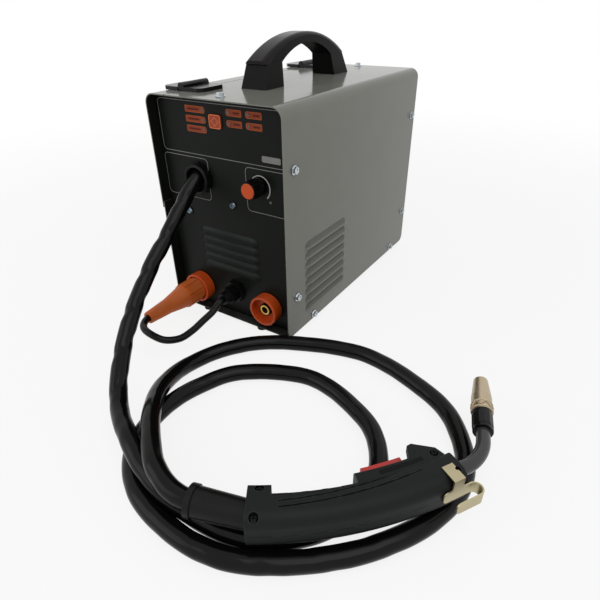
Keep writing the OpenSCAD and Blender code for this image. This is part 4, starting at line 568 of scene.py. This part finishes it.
def make_inner_finishes():
    """Electronics, wire feeder and spool."""
    finish("shaft_steel", linear(196, 196, 198), 0.28, metal=1.0, depth=0.01, lines=0.3)
    finish("pot_body", linear(140, 132, 110), 0.5, metal=0.6)
    finish("board_green", linear(32, 92, 48), 0.35, mottle=0.1, depth=0.01, coat=0.4,
           adjust=board_tracks)
    finish("sink_aluminium", linear(190, 193, 197), 0.38, metal=1.0, lines=0.8)
    finish("winding_copper", linear(178, 108, 62), 0.4, metal=0.8, mottle=0.2, lines=1.0)
    finish("motor_steel", linear(150, 152, 155), 0.4, metal=1.0, lines=0.5)
    finish("arm_plastic", linear(38, 38, 40), 0.5, specular=0.35, grain=2000, depth=0.03)
    finish("spool_plastic", linear(28, 30, 33), 0.42, specular=0.4)
    finish("welding_wire", linear(200, 132, 92), 0.3, metal=1.0, mottle=0.15)


def make_torch_finishes(paint):
    """Torch, torch hose and polarity lead."""
    finish("torch_plastic", paint.torch, 0.46, specular=0.14, grain=2600, depth=0.06, mottle=0.05,
           rub=(linear(104, 106, 108), 0.4), adjust=painted_hollow_shade)
    finish("trigger_red", paint.trigger, 0.42, grain=2000, mottle=0.06)
    finish("switch_black", linear(24, 24, 25), 0.5)
    finish("sleeve_rubber", linear(15, 16, 15), 0.38, specular=0.16, grain=1800, depth=0.03)
    finish("neck_jacket", linear(58, 57, 57), 0.22, specular=0.4, grain=1800, depth=0.01,
           mottle=0.04)
    finish("insulator_black", linear(9, 9, 9), 0.25, specular=0.2, rub=(linear(70, 70, 70), 0.3))
    finish("nozzle_metal", linear(186, 171, 144), 0.3, metal=1.0, depth=0.01, mottle=0.12,
           lines=0.3)
    finish("tip_copper", linear(200, 120, 78), 0.3, metal=1.0, mottle=0.15)
    finish("hook_metal", linear(182, 172, 140), 0.34, metal=1.0, depth=0.01, mottle=0.12,
           lines=0.5)
    finish("hose_rubber", linear(9, 10, 9), 0.17, specular=0.16, grain=900, depth=0.008,
           span=0.06)
    finish("lead_rubber", linear(12, 12, 12), 0.26, specular=0.16, depth=0.01)


def make_print_finishes(settings):
    """Inks of the front panel and the button."""
    inks = (("print_grey", tuple(settings.line_colour), 0.6, 0.1),
            ("print_white", linear(176, 178, 174), 0.6, 0.06),
            ("print_label", tuple(settings.label_colour), 0.55, 0.14),
            ("print_rim", linear(168, 84, 44), 0.55, 0.1),
            ("print_button", linear(238, 138, 88), 0.55, 0.05),
            ("print_dark", linear(70, 22, 12), 0.6, 0.08))
    for name, tint, rough, mottle in inks:
        finish(name, tint, rough, specular=0.2, depth=0.005, mottle=mottle)


# ---- mesh makers
def new_piece(name, points, faces, body, material, printed=False):
    """A mesh piece from points in millimetres, riding on a body.

    A piece is smooth, print is flat, and each has a slot for its material.
    """
    mesh = bpy.data.meshes.new(name)
    mesh.from_pydata([tuple(value * MM for value in point) for point in points], [], faces)
    mesh.update()
    for polygon in mesh.polygons:
        polygon.use_smooth = not printed
    mesh.materials.append(MATERIALS[material])
    piece = bpy.data.objects.new(name, mesh)
    bpy.context.scene.collection.objects.link(piece)
    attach(piece, body)
    return piece


def on_spline(points, span, share):
    """A point of the smooth curve through the route, as the CAD source works it out."""
    a, b = Vector(points[max(span - 1, 0)]), Vector(points[span])
    c, d = Vector(points[span + 1]), Vector(points[min(span + 2, len(points) - 1)])
    return 0.5 * (2 * b + (c - a) * share + (2 * a - 5 * b + 4 * c - d) * share ** 2
                  + (3 * b - a - 3 * c + d) * share ** 3)


def even_points(points, step, fine=40):
    """Points along the curve, a step apart, and its length."""
    dense = [on_spline(points, span, part / fine)
             for span in range(len(points) - 1) for part in range(fine)]
    dense.append(Vector(points[-1]))
    along = [0.0]
    for first, second in zip(dense, dense[1:]):
        along.append(along[-1] + (second - first).length)
    count = max(2, round(along[-1] / step))
    placed, at = [], 0
    for index in range(count + 1):
        want = along[-1] * index / count
        while at < len(along) - 2 and along[at + 1] < want:
            at += 1
        share = (want - along[at]) / max(along[at + 1] - along[at], 1e-9)
        placed.append(dense[at].lerp(dense[at + 1], min(1.0, share)))
    return placed, along[-1]


def frames_along(path, first_side, closed=False):
    """Side and up at each point of a path, carried along without twist."""
    count = len(path)
    side = Vector(first_side)
    made = []
    for index in range(count):
        before = path[index - 1] if index or closed else path[0]
        after = path[(index + 1) % count] if index < count - 1 or closed else path[-1]
        tangent = (after - before).normalized()
        side = (side - tangent * side.dot(tangent)).normalized()
        made.append((side, tangent.cross(side)))
    return made


def tube(path, radius_at, sides, first_side=(1, 0, 0), closed=False, lowest=None):
    """Points and faces of a tube; radius_at gives the radius for a ring and an angle."""
    points, faces = [], []
    frames = frames_along(path, first_side, closed)
    for ring, (centre, (side, up)) in enumerate(zip(path, frames)):
        for k in range(sides):
            angle = FULL_TURN * k / sides
            outward = math.cos(angle) * side + math.sin(angle) * up
            point = centre + radius_at(ring, angle, outward) * outward
            if lowest is not None:
                point.z = max(point.z, lowest)
            points.append(point)
    rings = len(path)
    for ring in range(rings if closed else rings - 1):
        for k in range(sides):
            a, b = ring * sides + k, ring * sides + (k + 1) % sides
            c, d = (a + sides) % len(points), (b + sides) % len(points)
            faces.append((a, b, d, c))
    if not closed:
        faces.append(tuple(range(sides))[::-1])
        faces.append(tuple(range((rings - 1) * sides, rings * sides)))
    return points, faces


def inward_bends(path, reach):
    """The way each point of a path bends, as a vector of one over the radius."""
    made = []
    for index, here in enumerate(path):
        low, high = max(index - reach, 0), min(index + reach, len(path) - 1)
        first, second = here - path[low], path[high] - here
        if min(first.length, second.length) < 1e-6:
            made.append(Vector())
            continue
        turn = second.normalized() - first.normalized()
        made.append(turn / (0.5 * (first.length + second.length)))
    return made


def inside_share(outward, bend, gain):
    """How much a side of a tube lies on the inside of its bend, from 0 to 1."""
    return min(1.0, max(0.0, outward.dot(bend)) * gain)


def half_wave(angle):
    """A wave from 0 to 1."""
    return 0.5 + 0.5 * math.sin(angle)


def circle(count):
    """Cosine and sine at even steps of a full turn."""
    angles = [FULL_TURN * k / count for k in range(count)]
    return [(math.cos(angle), math.sin(angle)) for angle in angles]


def joined(parts):
    """Several sets of points and faces as one."""
    points, faces = [], []
    for more_points, more_faces in parts:
        base = len(points)
        points += list(more_points)
        faces += [tuple(base + index for index in face) for face in more_faces]
    return points, faces


# ---- flat print
def round_outline(x0, x1, z0, z1, radius, corners=(1, 1, 1, 1)):
    """A rectangle's outline with rounded corners, counter-clockwise from the lower left."""
    steps = 6
    points = []
    places = ((x0, z0, 180), (x1, z0, 270), (x1, z1, 0), (x0, z1, 90))
    for (x, z, start), share in zip(places, corners):
        r = radius * share
        cx = x + (r if x == x0 else -r)
        cz = z + (r if z == z0 else -r)
        for step in range(steps + 1):
            angle = math.radians(start + 90 * step / steps)
            points.append((cx + r * math.cos(angle), cz + r * math.sin(angle)))
    return points


def ring_outline(x, z, radius, count):
    """A circle's outline about a place."""
    return [(x + radius * c, z + radius * s) for c, s in circle(count)]


def grown(outline, amount):
    """A closed outline moved outwards all round by an amount."""
    made = []
    count = len(outline)
    for index in range(count):
        before, here, after = (Vector(outline[(index + k) % count]) for k in (-1, 0, 1))
        normal = Vector((0.0, 0.0))
        for edge in (here - before, after - here):
            if edge.length > 1e-7:
                normal += Vector((edge.y, -edge.x)).normalized()
        made.append(tuple(here + normal.normalized() * amount))
    return made


def flat_band(outer, inner, front_y, thick, closed=True):
    """A flat band between two outlines, as a thin closed solid facing -y."""
    points, faces = [], []
    count = len(outer)
    for y in (front_y, front_y + thick):
        for outline in (outer, inner):
            points += [(x, y, z) for x, z in outline]
    back = 2 * count
    for k in range(count if closed else count - 1):
        n = (k + 1) % count
        a, b, c, d = k, n, count + k, count + n
        faces += [(a, b, d, c), (back + a, back + c, back + d, back + b),
                  (a, back + a, back + b, b), (c, d, back + d, back + c)]
    if not closed:
        first, last = [(k, count + k, back + count + k, back + k) for k in (0, count - 1)]
        faces += [first, last[::-1]]
    return points, faces


def line_along(outline, width, front_y, thick):
    """A printed line of a given width along a closed outline."""
    return flat_band(grown(outline, width / 2), grown(outline, -width / 2), front_y, thick)


def flat_field(outline, front_y, thick):
    """A flat field inside an outline, as a thin closed solid facing -y."""
    count = len(outline)
    points = [(x, y, z) for y in (front_y, front_y + thick) for x, z in outline]
    faces = [tuple(range(count)), tuple(range(2 * count - 1, count - 1, -1))]
    faces += [(k, count + k, count + (k + 1) % count, (k + 1) % count) for k in range(count)]
    return points, faces


# ---- stage
def turned_camera(settings):
    """The camera's matrix from its place, direction and roll."""
    back = Vector(settings.camera_back).normalized()
    level_right = Vector((0, 0, 1)).cross(back).normalized()
    level_up = back.cross(level_right)
    cos, sin = math.cos(settings.camera_roll), math.sin(settings.camera_roll)
    right = level_right * cos + level_up * sin
    up = level_up * cos - level_right * sin
    matrix = Matrix((right, up, back)).transposed().to_4x4()
    matrix.translation = Vector(settings.camera_at)
    return matrix


def add_camera(scene, settings):
    """The scene's camera."""
    camera = bpy.data.objects.new("stage_camera", bpy.data.cameras.new("stage_camera"))
    camera.data.sensor_width = 36
    camera.data.lens = settings.lens
    camera.data.clip_start = 0.01
    camera.rotation_mode = "QUATERNION"
    camera.matrix_world = turned_camera(settings)
    scene.collection.objects.link(camera)
    scene.camera = camera


def add_lamp(name, place, aim, size, power):
    """A square lamp that looks at a point."""
    data = bpy.data.lights.new(name, "AREA")
    data.size = size
    data.energy = power
    lamp = bpy.data.objects.new(name, data)
    lamp.location = place
    lamp.rotation_mode = "QUATERNION"
    lamp.rotation_quaternion = (Vector(aim) - Vector(place)).to_track_quat("-Z", "Y")
    bpy.context.scene.collection.objects.link(lamp)


def seen_rays(g):
    """1 for the rays that show the background to the eye, in metal or through glass."""
    rays = g.node("ShaderNodeLightPath").outputs
    seen = g.calc("ADD", rays["Is Camera Ray"], rays["Is Glossy Ray"], clamp=True)
    return g.calc("ADD", seen, rays["Is Transmission Ray"], clamp=True)


def add_world(scene, strength):
    """Soft light all round that looks plain white."""
    world = bpy.data.worlds.new("studio")
    scene.world = world
    world.use_nodes = True
    g = Graph(world.node_tree)
    white = (1, 1, 1, 1)
    light = g.node("ShaderNodeBackground", {"Color": white, "Strength": strength})
    shown = g.node("ShaderNodeBackground", {"Color": white, "Strength": 1.0})
    chosen = g.node(
        "ShaderNodeMixShader", {"Fac": seen_rays(g), 1: light.outputs[0], 2: shown.outputs[0]})
    g.node("ShaderNodeOutputWorld", {"Surface": chosen.outputs[0]})


def add_floor(scene, colour):
    """A pale floor that keeps the shadow near the machine and turns white away from it."""
    half, near, far, near_white, far_white = 60.0, 0.35, 1.5, 0.84, 1.0
    mesh = bpy.data.meshes.new("stage_floor")
    corners = [(-half, -half, 0), (half, -half, 0), (half, half, 0), (-half, half, 0)]
    mesh.from_pydata(corners, [], [(0, 1, 2, 3)])
    floor = bpy.data.objects.new("stage_floor", mesh)
    scene.collection.objects.link(floor)
    material = bpy.data.materials.new("floor_white")
    material.use_nodes = True
    g = Graph(material.node_tree)
    matt = g.node("ShaderNodeBsdfPrincipled", {
        "Base Color": colour, "Roughness": 0.9, "Specular IOR Level": 0.1})
    glow = g.node("ShaderNodeEmission", {"Color": (1, 1, 1, 1), "Strength": 1.0})
    away = g.vector("LENGTH", g.at(), output="Value")
    white = g.calc("MULTIPLY", seen_rays(g), g.between(away, near, far, near_white, far_white))
    lifted = g.node(
        "ShaderNodeMixShader", {"Fac": white, 1: matt.outputs[0], 2: glow.outputs[0]})
    g.node("ShaderNodeOutputMaterial", {"Surface": lifted.outputs[0]})
    mesh.materials.append(material)


# ---- operators
class WELDER_OT_stage(Operator):
    """Camera, soft lamps, world and floor"""

    bl_idname = "welder.stage"
    bl_label = "Stage"

    def execute(self, context):
        scene, settings = context.scene, context.scene.welder_stage
        add_camera(scene, settings)
        scene.view_settings.view_transform = "Standard"
        add_world(scene, settings.sky)
        add_lamp("lamp_key", (0.9, -0.7, 1.7), (0.1, -0.15, 0.1), 1.4, settings.key)
        add_lamp("lamp_fill", (-0.9, -1.5, 0.9), (0.05, -0.2, 0.12), 1.2, settings.fill)
        add_floor(scene, tuple(settings.floor_colour))
        return {"FINISHED"}


class WELDER_OT_finishes(Operator):
    """Materials of every CAD part"""

    bl_idname = "welder.finishes"
    bl_label = "Finishes"

    def execute(self, context):
        make_groups()
        make_finishes(context.scene.welder_paint)
        for row in frame["record"]["subparts"]:
            part = NODES[row["node"]]
            material = MATERIALS[row["material_slot"]]
            if not part.material_slots:
                part.data.materials.append(material)
            for holder in part.material_slots:
                holder.material = material
        return {"FINISHED"}


class WELDER_OT_torch_hose(Operator):
    """The torch hose, with its dents, ridges and creases"""

    bl_idname = "welder.torch_hose"
    bl_label = "Torch hose"

    def execute(self, context):
        settings = context.scene.welder_hose
        step = settings.ring_step / MM
        path, length = even_points(HOSE_ROUTE, step)
        bends = inward_bends(path, max(1, round(9 / step)))
        radius = settings.hose_diameter / MM / 2
        dent, wrinkle = settings.dent / MM, settings.wrinkle / MM

        def dent_share(along):
            begun = min(1.0, max(0.0, (along - DENT_START) / DENT_GROWTH))
            fading = min(1.0, max(DENT_LEFT, (DENT_END - along) / DENT_FADE))
            far = FAR_DENT_SHARE * max(0.0, math.sin(along / FAR_DENT_WAVE - 1.1)) ** 2
            return max(begun * fading, far)

        def radius_at(ring, angle, outward):
            along = ring * step
            share = dent_share(along)
            spiral = max(0.0, math.sin(angle - FULL_TURN * along / DENT_TURN)) ** 2
            lump = half_wave(along / LUMP_WAVE + 1.3 * math.sin(along / LUMP_SHIFT_WAVE))
            flat = 0.5 * lump * max(0.0, math.cos(2 * angle + along / FLAT_WAVE))
            ridge = math.cos(3 * angle + along / RIDGE_WAVE) * (0.35 + 0.65 * share)
            crease = inside_share(outward, bends[ring], 70)
            crease *= half_wave(FULL_TURN * along / CREASE_STEP)
            return (radius - dent * share * (spiral + flat) + RIDGE_HEIGHT * ridge
                    - wrinkle * crease)

        points, faces = tube(path, radius_at, settings.sides, lowest=0.25)
        hose = new_piece("torch_hose_jacket", points, faces, "machine", "hose_rubber")
        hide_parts("torch_hose")
        return {"FINISHED"}


class WELDER_OT_polarity_lead(Operator):
    """The short lead from its gland to the plug boot"""

    bl_idname = "welder.polarity_lead"
    bl_label = "Polarity lead"

    def execute(self, context):
        settings = context.scene.welder_hose
        path, length = even_points(LEAD_ROUTE, 1.0)
        bends = inward_bends(path, 6)
        radius = settings.lead_diameter / MM / 2
        crease_depth, crease_turn = 0.12, 1.9

        def radius_at(ring, angle, outward):
            crease = inside_share(outward, bends[ring], 25) * half_wave(ring * crease_turn)
            return radius - crease_depth * crease

        points, faces = tube(path, radius_at, 24)
        lead = new_piece("polarity_lead_jacket", points, faces, "machine", "lead_rubber")
        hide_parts("polarity_lead")
        return {"FINISHED"}


class WELDER_OT_wound_wire(Operator):
    """Welding wire wound in two layers on the spool"""

    bl_idname = "welder.wound_wire"
    bl_label = "Wound wire"

    def execute(self, context):
        low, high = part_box("wire_winding")
        centre = (low + high) / 2 / MM
        x0, x1 = low.x / MM + 0.3, high.x / MM - 0.3
        wire_r, core_r, bore_r = 0.5, 43.0, 22.1

        outer, inner = (
            ring_outline(centre.y, centre.z, radius, 96) for radius in (core_r, bore_r))
        points, faces = flat_band(outer, inner, x0, x1 - x0)
        # With x and y swapped, each face turns the other way round from its first corner
        parts = [([(x, y, z) for y, x, z in points], [(face[0], *face[:0:-1]) for face in faces])]

        steps, gap, layer_rise = 72, 0.03, 1.75 * wire_r
        layers = ((x0 + wire_r, x1 - wire_r), (x0 + wire_r + 0.5, x0 + (x1 - x0) * 0.62))
        for layer, (start, end) in enumerate(layers):
            turns = int((end - start) / (2 * wire_r + gap))
            radius = core_r + wire_r + layer * layer_rise
            path = []
            for index in range(turns * steps + 1):
                share = index / (turns * steps)
                angle = FULL_TURN * turns * share
                path.append(Vector((
                    start + (end - start) * share, centre.y + radius * math.cos(angle),
                    centre.z + radius * math.sin(angle))))
            parts.append(tube(path, lambda *_: wire_r, 6))
        wire = new_piece("wound_wire", *joined(parts), "spool", "welding_wire")
        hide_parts("wire_winding")
        return {"FINISHED"}


class WELDER_OT_front_print(Operator):
    """Printed outlines, lamp labels, plain badge, dial scale and numbers"""

    bl_idname = "welder.front_print"
    bl_label = "Front print"

    def execute(self, context):
        settings = context.scene.welder_print
        make_print_finishes(settings)
        ink = settings.ink_height / MM
        sunk = ink + 0.05  # the print reaches a little into the sheet
        front = PANEL_Y - ink
        self.print_outlines(front, sunk, settings.line_width / MM)
        self.print_labels(front, sunk, ink)
        badge = round_outline(56.5, 80.5, 212.3, 218.9, 1.6)
        new_piece("print_badge", *flat_field(badge, front, sunk), "machine", "print_grey",
                  printed=True)
        self.print_dial(front, sunk)
        for name, words, x, z in (("dial_number_low", "0", 36.6, 168.6),
                                  ("dial_number_high", "10", 64.6, 168.4)):
            self.print_number(context, name, words, x, z, ink)
        self.print_button(BUTTON_FACE_Y - ink, sunk)
        return {"FINISHED"}

    @staticmethod
    def print_outlines(front, sunk, width):
        """Frames round the lamps, the hose outlet and the knob."""
        right_edge, corner = 90.6, 5
        frames = [(-88, right_edge, 208, 264.6), (-89.5, -21.5, 155.4, 204),
                  (33, right_edge, 154.8, 204)]
        lines = [line_along(round_outline(*sides, corner), width, front, sunk)
                 for sides in frames]
        new_piece("print_outlines", *joined(lines), "machine", "print_grey", printed=True)

    @staticmethod
    def print_labels(front, sunk, ink):
        """A rimmed field with a plain bar beside each lamp."""
        half_high, bar_half_high, corner, bar_corner = 3.2, 0.9, 2.6, 0.4
        # Lamps, from where to where their fields and bars reach, and how round the corners are
        kinds = ((LEFT_LENSES, (-25.2, 3.2), (-22.0, -5.4), (0.3, 1, 1, 0.3)),
                 (RIGHT_LENSES, (-3.3, 17.0), (6.3, 14.6), (1, 0.3, 0.3, 1)))
        fields, rims, bars = [], [], []
        for lenses, (left, right), (bar_left, bar_right), corners in kinds:
            for x, z in lenses:
                outline = round_outline(
                    x + left, x + right, z - half_high, z + half_high, corner, corners)
                fields.append(flat_field(grown(outline, -0.25), front, sunk))
                rims.append(
                    flat_band(grown(outline, 0.25), grown(outline, -0.35), front - 0.03, ink))
                bar = round_outline(x + bar_left, x + bar_right, z - bar_half_high,
                                    z + bar_half_high, bar_corner)
                bars.append(flat_field(bar, front - 0.04, ink))
        for name, parts, material in (
                ("print_labels", fields, "print_label"), ("print_label_rims", rims, "print_rim"),
                ("print_label_bars", bars, "print_dark")):
            new_piece(name, *joined(parts), "machine", material, printed=True)

    @staticmethod
    def print_dial(front, sunk):
        """The arc of the current scale, wider towards its end."""
        steps, start, sweep = 48, 138, 186
        outer, inner = [], []
        for k in range(steps + 1):
            share = k / steps
            angle = math.radians(start - sweep * share)
            middle = 12.9 + 0.9 * share
            half = 0.42 + 0.38 * share
            for side, radius in ((outer, middle + half), (inner, middle - half)):
                side.append((DIAL_AT[0] + radius * math.cos(angle),
                             DIAL_AT[1] + radius * math.sin(angle)))
        new_piece("dial_scale", *flat_band(outer, inner, front, sunk, closed=False), "machine",
                  "print_white", printed=True)

    @staticmethod
    def print_number(context, name, words, x, z, ink):
        """A number of the current scale."""
        curve = bpy.data.curves.new(name, "FONT")
        curve.body = words
        curve.size = 3.4 * MM
        curve.align_x = "CENTER"
        curve.extrude = ink * MM / 2
        curve.materials.append(MATERIALS["print_white"])
        number = bpy.data.objects.new(name, curve)
        number.rotation_euler = (math.radians(90), 0, 0)
        number.location = (x * MM, (PANEL_Y - ink / 2) * MM, z * MM)
        context.scene.collection.objects.link(number)
        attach(number, "machine")

    @staticmethod
    def print_button(face, sunk):
        """Rim and diamond of the mode button."""
        x, z = BUTTON_AT
        rim = round_outline(x - 7.7, x + 7.7, z - 6.7, z + 6.7, 2.2)
        diamond = [(x, z - 4.4), (x + 5.2, z), (x, z + 4.4), (x - 5.2, z)]
        lines = [line_along(outline, 0.6, face, sunk) for outline in (rim, diamond)]
        new_piece("button_print", *joined(lines), "button", "print_button", printed=True)


class WELDER_OT_small_trim(Operator):
    """Dark rings round the panel screws and the nozzle's wavy spring"""

    bl_idname = "welder.small_trim"
    bl_label = "Small trim"

    def execute(self, context):
        # Dark rings round the panel screws, a little in front of the panel
        screw_dark_rings = []
        for x, z in PANEL_SCREWS:
            outer, inner = (ring_outline(x, z, radius, 48) for radius in (5.2, 4.32))
            screw_dark_rings.append(flat_band(outer, inner, PANEL_Y - 0.8, 0.75))
        new_piece("panel_screw_dark_rings", *joined(screw_dark_rings), "machine", "fitting_plastic")

        place = nozzle_place()
        ring_r, ring_z, wave, waves, wire_r, steps = 9.75, 6.0, 1.7, 6, 0.5, 180
        path = []
        for k, (c, s) in enumerate(circle(steps)):
            lift = wave * math.sin(waves * FULL_TURN * k / steps)
            path.append(place @ Vector((ring_r * c, ring_r * s, ring_z + lift)))
        along = place.to_3x3() @ Vector((0, 0, 1))
        points, faces = tube(path, lambda *_: wire_r, 8, along, closed=True)
        new_piece("nozzle_spring", points, faces, "machine", "nozzle_metal")
        return {"FINISHED"}


def nozzle_place():
    """Frame of the gas nozzle: z runs to its mouth from its base."""
    def moved(*by):
        return Matrix.Translation(by)

    def turned(angle, axis="Z"):
        return Matrix.Rotation(angle, 4, axis)

    grip = moved(*TORCH_AT) @ turned(TORCH_TURN)
    neck = grip @ moved(NECK_REACH * math.sin(NECK_ANGLE),
                        GRIP_BEND - NECK_REACH * math.cos(NECK_ANGLE), 0) @ turned(NECK_ANGLE)
    bend = moved(NECK_STRAIGHT, NECK_BEND, 0) @ turned(NECK_TURN) @ moved(0, -NECK_BEND, 0)
    base = moved(0, 0, NECK_END + INSULATOR_LENGTH)
    return neck @ bend @ turned(math.radians(90), "Y") @ base


OPERATORS = (
    WELDER_OT_stage, WELDER_OT_finishes, WELDER_OT_torch_hose, WELDER_OT_polarity_lead,
    WELDER_OT_wound_wire, WELDER_OT_front_print, WELDER_OT_small_trim,
)

SETTINGS = {
    "welder_stage": StageSettings, "welder_paint": PaintSettings,
    "welder_print": PrintSettings, "welder_hose": HoseSettings,
}


class WELDER_PT_tools(Panel):
    """The pieces that can be built"""

    bl_label = "Welding machine"
    bl_idname = "WELDER_PT_tools"
    bl_space_type = "VIEW_3D"
    bl_region_type = "UI"
    bl_category = "Welder"

    def draw(self, context):
        for kind in OPERATORS:
            self.layout.operator(kind.bl_idname)
        for label in SETTINGS:
            box = self.layout.box()
            group = getattr(context.scene, label)
            for name in group.bl_rna.properties.keys():
                if name not in ("rna_type", "name"):
                    box.prop(group, name)


def register():
    for kind in (*SETTINGS.values(), *OPERATORS, WELDER_PT_tools):
        bpy.utils.register_class(kind)
    for label, kind in SETTINGS.items():
        setattr(bpy.types.Scene, label, PointerProperty(type=kind))


def unregister():
    for label in SETTINGS:
        delattr(bpy.types.Scene, label)
    for kind in (WELDER_PT_tools, *reversed(OPERATORS), *reversed(tuple(SETTINGS.values()))):
        bpy.utils.unregister_class(kind)


def main():
    """Builds every piece in order."""
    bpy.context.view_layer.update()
    register()
    bpy.ops.welder.stage()
    bpy.ops.welder.finishes()
    bpy.ops.welder.torch_hose()
    bpy.ops.welder.polarity_lead()
    bpy.ops.welder.wound_wire()
    bpy.ops.welder.front_print()
    bpy.ops.welder.small_trim()
    bpy.context.view_layer.update()


if __name__ == "__main__":
    main()
